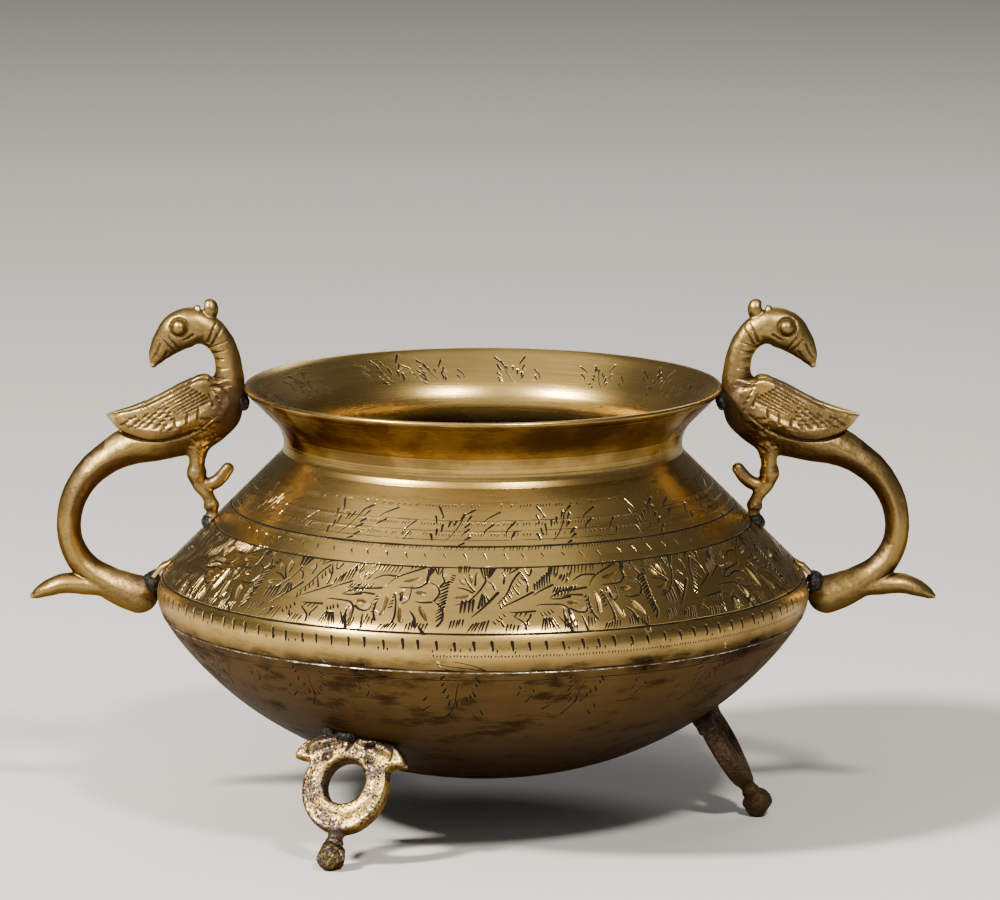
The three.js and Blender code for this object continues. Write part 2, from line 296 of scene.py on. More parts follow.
def leaf_cluster():
    """The six-lobed leaf, with the hatching round it. u is to the right and v up, in millimetres."""
    outlines = cuts(
        0.38,
        [(-2.2, 16.9), (-0.5, 19.4), (1.9, 21.5), (4.9, 23.1), (11.5, 26)],
        [(12, 26), (13, 24.3), (13, 20.2)],
        [(2.2, 17.3), (6.3, 17.2), (10.4, 17.5), (13.2, 19.8)],
        [(13.2, 20), (16.7, 18.4), (18.1, 16), (17.8, 14.2), (16.7, 12.3)],
        [(9.6, 12), (12, 11.4), (15.9, 11.7)],
        [(15.3, 13.2), (19.5, 9.2), (20, 5), (18.4, 2.5)],
        [(1.6, 15.7), (3, 11.7), (3.8, 6.2), (3.4, 3.4)],
        [(-3.3, 14), (-4.1, 10.2), (-3.8, 6.5), (-2.7, 4)],
        [(-5.2, 11.6), (-5.3, 8.5), (-6.6, 7.3), (-9, 7.6), (-11.2, 9)],
        [(-7.7, 7), (-7.3, 3.9), (-6.8, 0.8)],
        [(-17, 15.9), (-10, 16), (-3.3, 16.7)],
        [(-13.7, 13.4), (-9.5, 14.1), (-5.5, 13.8)],
        [(-8.2, 19.7), (-3.8, 22), (1.4, 22)],
        [(18.6, 25.6), (18.6, 22.8), (19.7, 20.3), (18.1, 18.1)],
    )
    bold = cuts(
        0.52,
        [(8.5, 8.3), (10.7, 5.4), (11.2, 2.3)],
        [(-13.3, 9.8), (-13.6, 6), (-12, 1)],
        [(12, 3), (14.5, 0)],
        [(13.2, 25.9), (13.1, 20.6)],
        [(4.6, 16.6), (4.9, 12.2)],
    )
    thin = cuts(0.24, [(7.7, 19.3), (7.5, 12.6), (5.5, 10.7)])
    veins = [
        vein([(3.8, 20), (7.7, 21), (11, 22)], 0.6),
        vein([(9.3, 15.2), (11.6, 15.4), (14, 15)], 0.7),
        vein([(11.5, 10.5), (13.3, 7.3), (15.1, 4)], 0.7),
        vein([(4.7, 10.6), (5.8, 5.3), (6.6, 3.7), (7.4, 6.3)], 0.5),
        vein([(-0.8, 15), (-0.5, 11), (-1.1, 6), (0.4, 7.9)], 0.6),
        vein([(-12, 11), (-9.5, 10.8), (-7.1, 10.4)], 0.65),
        vein([(-12.3, 9), (-11.5, 5.4), (-10.8, 1.8), (-9.6, 3.8)], 0.5),
        vein([(4.4, 16), (4.6, 13)], 0.7),
    ]
    hatching = (
        fan((-1.6, 0), (4, 0.2), (0.2, 2.4), (5.2, 3), 6)
        + fan((11, 0.2), (14.6, 0.4), (12, 3.2), (15.4, 3.2), 4)
        + fan((-16.6, 14.6), (-8.8, 15), (-14.8, 17.4), (-7.2, 17.8), 8)
        + fan((-17.4, 21.5), (-13.5, 21.8), (-15.8, 26), (-12, 26.2), 6)
        + fan((-8, 22.4), (1.2, 22.4), (-6.6, 26.2), (2.6, 26.4), 7)
        + fan((5.6, 24), (10.4, 26), (6.8, 26.8), (11.4, 27), 4)
        + fan((17.4, 4), (17.6, 18.6), (20, 6.2), (21.4, 20.4), 12, 0.42)
        + fan((-12.4, 19.8), (-9.2, 20.6), (-11.2, 22.6), (-8, 23.4), 4)
        + fan((20.6, 20.8), (21.4, 23.4), (22.6, 20), (23.4, 22.8), 4)
        + fan((0.4, 8.6), (0.8, 13.6), (2.2, 9.4), (2.2, 14.6), 5, 0.3)
        + fan((8.2, 0.2), (10.2, 0.4), (8.6, 3), (10.6, 4.4), 3)
        + fan((13.4, 21.4), (14.6, 23), (13.6, 25.8), (15, 25.6), 3, 0.4)
        + fan((16.8, 22.8), (17, 22.8), (15.4, 26), (18.2, 26), 3)
        + fan((-5.2, 6.2), (-5.4, 12.6), (-3.6, 7.2), (-4, 13.4), 5)
        + fan((-6.6, 1), (-3.4, 1.4), (-5.6, 5.4), (-3.6, 4.2), 3)
    )
    return outlines + bold + thin + veins + hatching


def stem_and_leaves():
    """The stems, buds and small leaves between two leaf clusters."""
    outlines = cuts(
        0.36,
        [(23.5, 18), (27.4, 17.2), (30, 15.8)],
        [(23.5, 10.7), (27.4, 11.4), (29.5, 13), (32.4, 16.2), (34.8, 20.4), (34.8, 22)],
        [(26.4, 23.1), (28.2, 19.4), (30.6, 16.3)],
        [(31.4, 24.4), (30.7, 22.9), (30.6, 18.8)],
        [(34.8, 20.4), (36.9, 19.4), (37.9, 17.2)],
        [(38.2, 10.8), (41.9, 15), (44.5, 20.4), (47.4, 24.2)],
        [(39.2, 9.6), (44.5, 12.2), (51.8, 16)],
        [(51, 14), (55, 16.4), (59.5, 18.5)],
        [(40.3, 25), (41.6, 22.8), (41.2, 19.7)],
        [(42.9, 23.4), (47.1, 26)],
        [(47.6, 25.3), (49.7, 20.6)],
        [(49.2, 26.3), (50.8, 22.5), (52.4, 25.3)],
        [(47.1, 22.5), (49.7, 19.7), (49.5, 16.2)],
        [(44.8, 17.5), (46.3, 14.9)],
        [(41.9, 7.7), (45, 7.9), (51.3, 8.2)],
        [(42.9, 6.9), (47.1, 3.6), (47.5, 1.4)],
        [(50.3, 7.1), (48.2, 4.2), (48.4, 3.3)],
        [(39.2, 5.5), (40.6, 2.7)],
        [(58.7, 6.6), (61.3, 2.4)],
        [(56.8, 12.9), (60.8, 15.3), (64.7, 16.2)],
        [(56.8, 12.9), (60.6, 12.8), (64.7, 13.5)],
        [(51.6, 10.2), (53.2, 10.8), (56.8, 10.8), (61, 10.4), (62.9, 8.6), (63.4, 6.1)],
    )
    bold = cuts(0.5, [(29.5, 5.4), (33.5, 9.2), (39.2, 15.6)])
    veins = [
        vein([(23.5, 13.7), (26.9, 14.3), (29.5, 15.3)], 0.6),
        vein([(28.6, 24), (29.4, 21.4), (29.6, 19.4)], 0.5),
        vein([(24.4, 21.8), (26, 20), (27, 18.6)], 0.5),
    ]
    hatching = (
        fan((24.6, 23.4), (28, 23.4), (24.4, 27), (28.6, 27), 5)
        + fan((34.2, 21.4), (36, 21.6), (33, 26.4), (38.5, 26.2), 6, 0.4)
        + fan((33.5, 16.6), (34.2, 15.4), (32, 9.6), (35.8, 11.8), 4, 0.4)
        + fan((25.9, 7), (29.8, 7.2), (26.6, 12.4), (30.2, 12.8), 4, 0.48)
        + fan((38.9, 12), (46.9, 23.4), (39.7, 9.4), (48.6, 21), 9)
        + fan((52, 15.6), (58, 18.2), (52.4, 19), (58.8, 24.6), 7, 0.4)
        + fan((41.6, 24.2), (43.4, 24), (42.2, 26), (44.2, 26.2), 3)
        + fan((44, 5.9), (48.6, 5.2), (45, 7.6), (49.6, 7.4), 4)
        + fan((28.2, 0.2), (34, 0.2), (30.4, 3.6), (35.4, 5), 6)
        + fan((40.6, 0.2), (44.2, 0.2), (41.6, 3.3), (45.2, 3), 4)
        + fan((52.4, 0.2), (59, 0.2), (54, 5.4), (56.6, 5.4), 7)
        + fan((60.2, 0.2), (64.2, 0.2), (61, 4.8), (64.8, 4), 5)
        + fan((58.4, 13.1), (63.6, 13.6), (59.2, 14.6), (64.6, 16), 5)
        + fan((60.2, 21), (63.8, 18.6), (61.6, 23.2), (65.4, 20.6), 4)
        + fan((64.6, 24.4), (67.4, 23.6), (65.4, 26.4), (68.2, 26.2), 3)
        + fan((22.6, 1.2), (26.6, 2.4), (23.4, 4.6), (27, 5.4), 5)
        + fan((36.4, 5), (39.6, 8), (37.6, 3.6), (41, 6.4), 4)
        + fan((53, 8), (56.4, 9.4), (54, 6.2), (57.6, 7.6), 4, 0.3)
    )
    return outlines + bold + veins + hatching


def upper_spray():
    """A grass-like spray on the shoulder, and the loose blades on both sides of it."""
    stem = cuts(0.26, [(0, 1.4), (2.8, 4.4), (5.3, 8.5), (7.4, 13.5), (8.5, 14.7), (11, 16.7)])
    blades = cuts(
        0.42,
        [(-3.5, 1.7), (-4.4, 5.1)],
        [(-2.5, 3.9), (-2.6, 7.4)],
        [(-0.9, 5.5), (-0.7, 9.6)],
        [(1.1, 7.8), (1.9, 10.9)],
        [(2.9, 8.6), (4, 12)],
        [(5.1, 0.4), (7.4, 1.7)],
        [(6.9, 2.7), (9.5, 4.3)],
        [(6.5, 4.8), (9.3, 7.4)],
        [(6.9, 7.5), (9.2, 10)],
        [(7.7, 10.4), (9.5, 13.5)],
        [(5.5, 11), (7.2, 14.6)],
        [(8.4, 14.6), (11, 16.8)],
        [(-1.8, 11.7), (-1.1, 13.1), (-3.2, 17.9)],
    )
    loose = cuts(
        0.34,
        [(-4.8, 9), (-3.5, 10.2), (-4.2, 13.1)],
        [(-15.8, 3.3), (-15.7, 5.8), (-14.1, 8.3), (-12, 10.4)],
        [(-13.9, 2.1), (-14.1, 3.3), (-12.7, 6)],
        [(14, 10), (15.7, 12.3), (20.8, 15.4)],
        [(14, 4.8), (14.8, 7.5), (18, 10.2)],
    )
    return stem + blades + loose


def lower_spray():
    """The same spray under the belly, hanging. Here v counts downwards."""
    stem = cuts(0.26, [(0.8, 0.5), (-0.3, 5.6), (-1.2, 11.8), (-2.4, 15.7), (-5, 20.3)])
    blades = cuts(
        0.42,
        [(-3.8, -2.9), (-5.9, -0.5)],
        [(-3.8, 0.2), (-5, 1.9)],
        [(-3.3, 3.1), (-4.8, 6)],
        [(-3, 6.3), (-4.1, 8.7)],
        [(-2.4, 8.9), (-3.5, 12.6)],
        [(-0.5, 8.9), (-0.6, 13.3)],
        [(1.2, 9.7), (1.3, 12.3)],
        [(2.6, 7), (3, 10.1)],
        [(3.8, 6), (4.3, 8.5)],
        [(4.8, 4.1), (6.1, 7.5)],
        [(5.3, 1.2), (6.2, 3.1)],
        [(5.6, -1.7), (7.4, 1.4)],
        [(-10.2, 8.2), (-12, 10.9)],
        [(-9.2, 12.6), (-13.2, 16.2)],
        [(6.8, 14.5), (8, 17.6)],
        [(4.8, 17.6), (7.1, 21.5)],
        [(-2.4, 15.6), (-5, 20.4)],
    )
    loose = cuts(
        0.34,
        [(20.2, 1.9), (21.1, 4.1)],
        [(21.4, 4.4), (20.5, 7.5)],
        [(24.2, 3.6), (25, 5.8)],
        [(25, 6.2), (22.6, 10.6)],
    )
    return stem + blades + loose


# ---- Putting the cuts on the pot ----
def placed(motif, turn, base, radius, upright, size, shake):
    """A motif's cuts as strokes on the chart, at their true size where the pot has that radius.

    upright stretches the motif in height and turns it over if negative. shake moves each cut a little.
    """
    strokes = []
    for curve, widths, fill, depth in motif:
        shift = draw.normal(0, shake, 2)
        spot = (curve + shift) * [size, size * upright] / radius + [turn, base]
        strokes.append(Stroke(spot, widths * size / radius, fill, depth))
    return strokes


def outside_at(height):
    """The pot's radius at a height, and that height in the chart."""
    length = outside.length_at_height(height)
    return float(outside.at(length)[0]), float(outside.chart_at(length))


def turned_line(height, width, unevenness=0.15, fill=1.8):
    """A line cut right round the pot at a height."""
    radius, base = outside_at(height)
    turns = np.linspace(-math.pi, math.pi, COLUMNS + 1)
    waves = sum(np.sin(count * turns + draw.uniform(0, 6)) / 2 for count in draw.randint(5, 60, 4))
    widths = width / radius * (1 + unevenness * waves)
    return Stroke(np.stack([turns, np.full(COLUMNS + 1, base)], 1), widths, fill, 0.7)


def row_of(motif, count, height, shake, gaps=0.0):
    """Copies of a small motif all round the pot at a height. gaps is the share that is left out."""
    radius, base = outside_at(height)
    pitch = 2 * math.pi / count
    strokes = []
    for turn in (np.arange(count) + 0.5) * pitch - math.pi:
        if draw.uniform() >= gaps:
            turn += draw.normal(0, 0.06 * pitch)
            strokes += placed(motif, turn, base, radius, 1, draw.uniform(0.9, 1.1), shake)
    return strokes


CUT_CLEARANCE = 0.004  # in the chart: between a stroke and the line where the chart is cut open
GRID_CLEARANCE = 0.002  # and between a stroke and the plain grid's points


def within_cut(strokes):
    """Strokes that stay clear of the line at the back where the chart is cut open."""
    kept = []
    for stroke in strokes:
        reach = np.abs(stroke.points[:, 0]).max() + stroke.widths.max()
        if stroke.goes_round() or reach < math.pi - CUT_CLEARANCE:
            kept.append(stroke)
    return kept


# ---- Shells ----
def stroke_net(stroke):
    """The points and edges that a cut adds to the chart: its middle line and its two edges."""
    points, widths = stroke.points, stroke.widths[:, None]
    along = np.gradient(points, axis=0)
    along /= np.linalg.norm(along, axis=1)[:, None]
    side = np.stack([-along[:, 1], along[:, 0]], 1)
    left, right = points + side * widths, points - side * widths
    count = len(points)
    middle = [(i, i + 1) for i in range(count - 1)]
    if stroke.goes_round():
        chains = [[(k * count + a, k * count + b) for a, b in middle] for k in range(3)]
        return np.concatenate([points, left, right]), sum(chains, [])
    cap = points[-1] + along[-1] * widths[-1]
    net = np.concatenate([points, left[1:], right[1:], [cap]])
    end = len(net) - 1
    left_chain = [0, *range(count, 2 * count - 1), end]
    right_chain = [0, *range(2 * count - 1, 3 * count - 2), end]
    edges = middle + list(zip(left_chain[:-1], left_chain[1:]))
    return net, edges + list(zip(right_chain[:-1], right_chain[1:]))


class Shell:
    """A closed surface of revolution, built as rings of points with strips between them."""

    def __init__(self, columns=COLUMNS):
        self.turns = -math.pi + 2 * math.pi / columns * np.arange(columns)
        self.points, self.normals, self.fill, self.faces = [], [], [], []
        self.size = 0

    def add(self, points, normals, fill=None):
        start = self.size
        self.points.append(points)
        self.normals.append(normals)
        self.fill.append(np.zeros(len(points)) if fill is None else fill)
        self.size += len(points)
        return start + np.arange(len(points))

    def around(self, turns, flat):
        """Points or directions (radius, height) swept to the given turns."""
        flat = np.broadcast_to(flat, (len(turns), 2))
        return np.stack([flat[:, 0] * np.sin(turns), -flat[:, 0] * np.cos(turns), flat[:, 1]], 1)

    def ring(self, place, normal):
        return self.add(self.around(self.turns, place), self.around(self.turns, normal))

    def ring_on(self, track, length):
        return self.ring(track.at(length), track.from_chart(track.chart_at(length))[1])

    def strip(self, lower, upper):
        lower_next, upper_next = np.roll(lower, -1), np.roll(upper, -1)
        self.faces.append(np.stack([lower, lower_next, upper_next], 1))
        self.faces.append(np.stack([lower, upper_next, upper], 1))

    def close(self, rings):
        """Strips from each ring to the next, and from the last to the first."""
        for lower, upper in zip(rings, rings[1:] + rings[:1]):
            self.strip(lower, upper)

    def cover(self, ring, height, normal):
        """Closes a ring to one point on the axis. normal is 1 upwards or -1 downwards."""
        pole = self.add(np.array([[0, 0, height]]), np.array([[0, 0, float(normal)]]))
        poles = np.repeat(pole, COLUMNS)
        first, second = (ring, np.roll(ring, -1))[::normal]
        self.faces.append(np.stack([poles, first, second], 1))

    def engraved(self, track, first, last, lower, upper, strokes):
        """The stretch of a track between two rings, cut open along the strokes."""
        bottom, top = track.chart_at(first), track.chart_at(last)
        strokes = within_cut(strokes)
        turns = np.linspace(-math.pi, math.pi, COLUMNS + 1)
        rows = max(2, round((top - bottom) / (2 * math.pi / COLUMNS)))
        heights = np.linspace(bottom, top, rows + 1)
        grid = np.stack(np.meshgrid(turns, heights), 2).reshape(-1, 2)
        rim = (grid[:, 1] < bottom + 1e-9) | (grid[:, 1] > top - 1e-9)
        rim |= np.abs(grid[:, 0]) > math.pi - 1e-9
        clear = clearance(grid, strokes)[0] > GRID_CLEARANCE
        nets = [grid[rim | clear]]
        edges = []
        count = len(nets[0])
        for stroke in strokes:
            net, links = stroke_net(stroke)
            edges += [(a + count, b + count) for a, b in links]
            nets.append(net)
            count += len(net)
        flat = np.concatenate(nets)
        flat[:, 1] = flat[:, 1].clip(bottom, top)
        points = [Vector(point) for point in flat]
        found, _, faces, _, _, _ = delaunay_2d_cdt(points, edges, [], 0, 1e-6, False)
        chart = np.array([tuple(point) for point in found])
        faces = np.array(faces)

        index = np.full(len(chart), -1)
        column = np.round((chart[:, 0] + math.pi) * COLUMNS / (2 * math.pi)).astype(int) % COLUMNS
        at_bottom = chart[:, 1] < bottom + 1e-6
        at_top = chart[:, 1] > top - 1e-6
        index[at_bottom] = lower[column[at_bottom]]
        index[at_top] = upper[column[at_top]]
        between = ~at_bottom & ~at_top
        left = np.flatnonzero((chart[:, 0] < -math.pi + 1e-5) & between)
        right = np.flatnonzero((chart[:, 0] > math.pi - 1e-5) & between)
        left = left[np.argsort(chart[left, 1])]
        right = right[np.argsort(chart[right, 1])]
        own = index < 0
        own[right] = False
        _, depth, fill = clearance(chart, strokes)
        places, normals = track.from_chart(chart[:, 1])
        depth *= places[:, 0]
        places = places - normals * depth[:, None]
        swept = self.around(chart[:, 0], places)
        facing = self.around(chart[:, 0], normals)
        index[own] = self.add(swept[own], facing[own], fill[own])
        index[right] = index[left]
        faces = index[faces]
        whole = (faces != np.roll(faces, 1, axis=1)).all(1)
        self.faces.append(faces[whole])

    def piece(self, name, node, slot, material):
        """The shell as an object. Inside a cut the faces are flat, and elsewhere they're smooth."""
        points = np.concatenate(self.points)
        normals = np.concatenate(self.normals)
        fill = np.concatenate(self.fill)
        faces = np.concatenate(self.faces)
        corners = points[faces]
        flat = np.cross(corners[:, 1] - corners[:, 0], corners[:, 2] - corners[:, 0])
        area = np.linalg.norm(flat, axis=1)
        solid = area > 1e-9
        flat = flat / np.maximum(area, 1e-12)[:, None]
        shaded = normals[faces]
        cut = (fill[faces].max(1) > 0.02) & solid
        shaded[cut] = flat[cut][:, None]
        return mesh_piece(name, node, material, points, faces, shaded, {"fill": fill})


def mesh_piece(name, node, material, points, faces, shaded=None, values=None):
    """A piece from points in millimetres and triangles, with its CAD node and material."""
    mesh = bpy.data.meshes.new(name)
    mesh.vertices.add(len(points))
    mesh.vertices.foreach_set("co", (np.asarray(points) * MM).astype(np.float32).ravel())
    mesh.loops.add(faces.size)
    mesh.loops.foreach_set("vertex_index", faces.astype(np.int32).ravel())
    mesh.polygons.add(len(faces))
    mesh.polygons.foreach_set("loop_start", np.arange(0, faces.size, faces.shape[1], dtype=np.int32))
    mesh.update(calc_edges=True)
    for key, numbers in (values or {}).items():
        attribute = mesh.attributes.new(key, "FLOAT", "POINT")
        attribute.data.foreach_set("value", np.asarray(numbers, np.float32))
    mesh.materials.append(material)
    if shaded is not None:
        shaded = shaded / np.linalg.norm(shaded, axis=2)[..., None]
        mesh.normals_split_custom_set(shaded.reshape(-1, 3).tolist())
    piece = bpy.data.objects.new(name, mesh)
    bpy.context.scene.collection.objects.link(piece)
    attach(piece, BODY)
    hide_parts(node)
    return piece


def outline_rings(shell, outline):
    """Rings along an open outline of (radius, height), with normals from the outline's own run."""
    outline = np.asarray(outline, float)
    steps = np.diff(outline, axis=0)
    steps /= np.linalg.norm(steps, axis=1)[:, None]
    run = np.concatenate([steps[:1], steps[:-1] + steps[1:], steps[-1:]])
    run /= np.linalg.norm(run, axis=1)[:, None]
    normals = np.stack([run[:, 1], -run[:, 0]], 1)
    rings = [shell.ring(place, normal) for place, normal in zip(outline, normals)]
    for lower, upper in zip(rings[:-1], rings[1:]):
        shell.strip(lower, upper)
    return rings


def stops(first, last, step):
    return np.linspace(first, last, max(1, math.ceil(abs(last - first) / step)) + 1)


def skirt_outline(seam):
    """From the inner wall: the step, and the skirt that runs down inside the shell below it."""
    near, far = WALL + GAP, WALL + GAP + SKIRT
    corners = [(LAP / 2, WALL), (0, far), (-LAP / 2, far), (-LAP, far), (-LAP, near), (-LAP / 2, near)]
    return [outside.at(seam + along, depth) for along, depth in corners + [(-0.2, near)]]


# ---- The three shells ----
RING_STEP = 3.0
POLE_START = 5.0
SEAM_LINE = 0.05  # what is left open between the shoulder and the neck
SPRAY_FOOT = 47.0
BAND_FOOT, BAND_TOP = 88.6, 108.4
BAND_HEIGHT, BAND_RADIUS = 26.4, 107.0  # along the slope, and where the leaves were drawn at
BAND_REPEATS, BAND_START = 9, math.radians(-18)
BOLD_LINE = 114.7
FAINT_LINES = (116.6, 119.3, 122.4)
SPRAYS = 14
UPPER_SPRAY_TURN, LOWER_SPRAY_TURN = math.radians(-10), math.radians(-6.5)
LOWER_SPRAY_TOP = 71.8
BELLY_TICKS, BELLY_TICK_HEIGHT = 116, 82.4
SMALL_TICKS, SMALL_TICK_HEIGHT = 230, 81.6
COMB_TEETH, COMB_HEIGHT, COMB_PHASE = 620, 80.2, 0.4  # the teeth come and go round the pot
SLANTED_TICKS, SLANTED_TICK_HEIGHT = 85, 112.4
STIPPLE_ROWS = ((113.8, 520, 0.25), (118, 480, 0.35), (121.1, 470, 0.2), (126.6, 430, 0.4))
TONGUES = ((-0.02, 1.0), (-0.42, 0.7), (0.9, 0.8), (1.9, 1.1), (2.7, 0.8), (-1.3, 0.9), (-2.3, 1.0))
NECK_LINES = (2.2, 5.4, 6.6, 10.5)  # beyond the neck's seam
LIP_LINE = 2.6  # before the lip
LATHE_CUT = 0.35, 0.12  # half the width of such a line, and its depth
FLARE_END, FLARE_SPRAYS, FLARE_SPRAY_FOOT, FLARE_RADIUS = 22.0, 16, 15.5, 80.0  # inside the flare


def wrapped(turn):
    return (turn + math.pi) % (2 * math.pi) - math.pi


def leaf_band():
    foot = outside.chart_at(outside.length_at_height(BAND_FOOT))
    top = outside.chart_at(outside.length_at_height(BAND_TOP))
    upright = (top - foot) * BAND_RADIUS / BAND_HEIGHT
    strokes = []
    for repeat in range(BAND_REPEATS):
        turn = wrapped(BAND_START + repeat * 2 * math.pi / BAND_REPEATS)
        for motif in (leaf_cluster(), stem_and_leaves()):
            strokes += placed(motif, turn, foot, BAND_RADIUS, upright, 1.0, 0.12)
    return strokes


def sprays(motif, count, first_turn, foot, upright, wander=0.02, sizes=(0.92, 1.08), shake=0.25):
    """Copies of a spray round the pot. foot is the radius and the height in the chart they stand on."""
    radius, base = foot
    strokes = []
    for spray in range(count):
        turn = wrapped(first_turn + spray * 2 * math.pi / count + draw.normal(0, wander))
        strokes += placed(motif, turn, base, radius, upright, draw.uniform(*sizes), shake)
    return strokes


def seam_marks():
    """Long pointed tongues, just above the belly seam, where the spelter was scraped off."""
    tongue = cuts(
        0.2,
        [(-15, 4.6), (-13.6, 3.2), (-9.6, 2.2), (-3.6, 1.5), (3, 0.5)],
        [(-14.4, 4.4), (-12.8, 1.8), (-9, 0.6), (-4, 0.2)],
        [(-9, 4.4), (-4.8, 3.6), (-0.4, 2.4), (3.4, 0.6)],
    )
    base = outside.chart_at(BELLY_SEAM) + 0.3 / BELLY_RADIUS
    strokes = []
    for turn, size in TONGUES:
        strokes += placed(tongue, turn, base, BELLY_RADIUS, 1, size, 0.2)
    return strokes


def shoulder_strokes():
    """All the cuts between the belly seam and the neck."""
    belly_tick = cuts(0.52, [(0, 0), (0.1, 1.6), (-0.3, 3.6)])
    comb_tooth = [graver([(0, 0), (0.1, 1.1)], 0.16, 0.24)]
    small_tick = cuts(0.3, [(0, 0.4), (0.1, 1.8)])
    slanted_tick = [graver([(1.2, -2.3), (0.6, -1.2), (0, 0)], 0.12, 0.3, 1.1, 0.4)]
    stipple = [graver([(-0.3, -0.8), (0.35, 0.8)], 0.1, 0.2, 1.2, 0.25)]
    strokes = leaf_band()
    strokes += sprays(upper_spray(), SPRAYS, UPPER_SPRAY_TURN, outside_at(BOLD_LINE), 1)
    strokes += [
        turned_line(BAND_FOOT, 0.46),
        turned_line(BAND_TOP, 0.38),
        turned_line(BOLD_LINE, 0.46),
    ]
    strokes += [turned_line(height, 0.2, 0.4, fill=0.7) for height in FAINT_LINES]
    strokes += row_of(belly_tick, BELLY_TICKS, BELLY_TICK_HEIGHT, shake=0.12)
    strokes += row_of(small_tick, SMALL_TICKS, SMALL_TICK_HEIGHT, shake=0.2, gaps=0.55)
    strokes.append(turned_line(seam_point[1] + 0.55, 0.3, 0.6))
    teeth = row_of(comb_tooth, COMB_TEETH, COMB_HEIGHT, shake=0.08)
    strokes += [tooth for tooth in teeth if math.sin(2 * tooth.points[0, 0] + COMB_PHASE) > 0.1]
    strokes += seam_marks()
    strokes += row_of(slanted_tick, SLANTED_TICKS, SLANTED_TICK_HEIGHT, shake=0.12)
    for height, count, gaps in STIPPLE_ROWS:
        strokes += row_of(stipple, count, height, shake=0.06, gaps=gaps)
    return strokes


def basin(material):
    shell = Shell()
    low, top = outside.length_at_height(SPRAY_FOOT), BELLY_SEAM - GAP
    plain = outline_rings(shell, outside.at(stops(POLE_START, low, RING_STEP)))
    shell.cover(plain[0], BASE_HEIGHT, -1)
    upper = shell.ring_on(outside, top)
    strokes = sprays(lower_spray(), SPRAYS, LOWER_SPRAY_TURN, outside_at(LOWER_SPRAY_TOP), -1)
    strokes.append(turned_line(LOWER_SPRAY_TOP, 0.24, 0.3))
    shell.engraved(outside, low, top, plain[-1], upper, strokes)
    inner = outline_rings(shell, outside.at(stops(top, POLE_START, RING_STEP), WALL))
    shell.strip(upper, inner[0])
    shell.cover(inner[-1], BASE_HEIGHT + WALL, 1)
    return shell.piece("basin_spun", "basin", "engraved_brass", material)


def shoulder(material):
    shell = Shell()
    top = NECK_SEAM - SEAM_LINE
    lower = shell.ring_on(outside, BELLY_SEAM)
    upper = shell.ring_on(outside, top)
    shell.engraved(outside, BELLY_SEAM, top, lower, upper, shoulder_strokes())
    wall = outside.at(stops(top, BELLY_SEAM + LAP / 2 + 0.5, RING_STEP), WALL)
    inner = outline_rings(shell, [*wall, *skirt_outline(BELLY_SEAM)])
    shell.strip(upper, inner[0])
    shell.strip(inner[-1], lower)
    return shell.piece("shoulder_engraved", "shoulder", "engraved_brass", material)


def lathe_cut_outline(first, last, places):
    """The outside of the pot with shallow V cuts at some distances along it."""
    half, depth = LATHE_CUT
    where = np.unique(np.concatenate([stops(first, last, 1.5)] + [[s - half, s, s + half] for s in places]))
    depths = np.where(np.isin(where, places), depth, 0)
    return np.array([outside.at(s, d) for s, d in zip(where, depths)])


def neck_and_rim(material):
    shell = Shell()
    places = [NECK_SEAM + beyond for beyond in NECK_LINES] + [RIM - LIP_LINE]
    outer = lathe_cut_outline(NECK_SEAM, RIM, places)
    normal = outside.normal[-1]
    along = np.array([-normal[1], normal[0]])
    lip = [
        outside.at(RIM, WALL / 2) + WALL / 2 * (normal * math.cos(a) + along * math.sin(a))
        for a in np.linspace(0, math.pi, 9)[1:-1]
    ]
    rings = outline_rings(shell, [*outer, *lip, inside.at(0)])
    wall = inside.at(stops(FLARE_END, inside.length[-1] - NECK_SEAM - LAP / 2, 2.0))
    lower = outline_rings(shell, [*wall, *skirt_outline(NECK_SEAM)])
    faded = [(curve * 0.7, widths * 0.95, 1.5, 0.3) for curve, widths, *_ in upper_spray()]
    foot = FLARE_RADIUS, inside.chart_at(FLARE_SPRAY_FOOT)
    strokes = sprays(faded, FLARE_SPRAYS, 0.2, foot, -1, 0.05, (0.8, 1.1), 0.5)
    shell.engraved(inside, 0, FLARE_END, rings[-1], lower[0], strokes)
    shell.strip(lower[-1], rings[0])
    return shell.piece("neck_and_rim_spun", "neck_and_rim", "engraved_brass", material)


# ---- Cast pieces: solids drawn as distances on a grid of points ----
def smallest(a, b, blend):
    """The nearer of two distances, with a smooth fillet of about the blend's size between them."""
    share = (0.5 + 0.5 * (b - a) / blend).clip(0, 1)
    return b + (a - b) * share - blend * share * (1 - share)


EMPTY = 50  # the distance that a casting's grid starts with
OFF_CENTRE = 1e-3  # keeps a shape's distance finite at its own middle
TINY = 1e-9
HOLLOW_NEAR, HOLLOW_FAR, EDGE_REACH = 0.9, 2.6, 1.8  # how far off hollows and edges are felt


def beside(p, q, x, z):
    """For places in a plane: the share of the way from p to q they are beside, and the gap squared."""
    run = q[:2] - p[:2]
    share = (((x - p[0]) * run[0] + (z - p[1]) * run[1]) / max(run @ run, TINY)).clip(0, 1)
    return share, (x - p[0] - share * run[0]) ** 2 + (z - p[1] - share * run[1]) ** 2


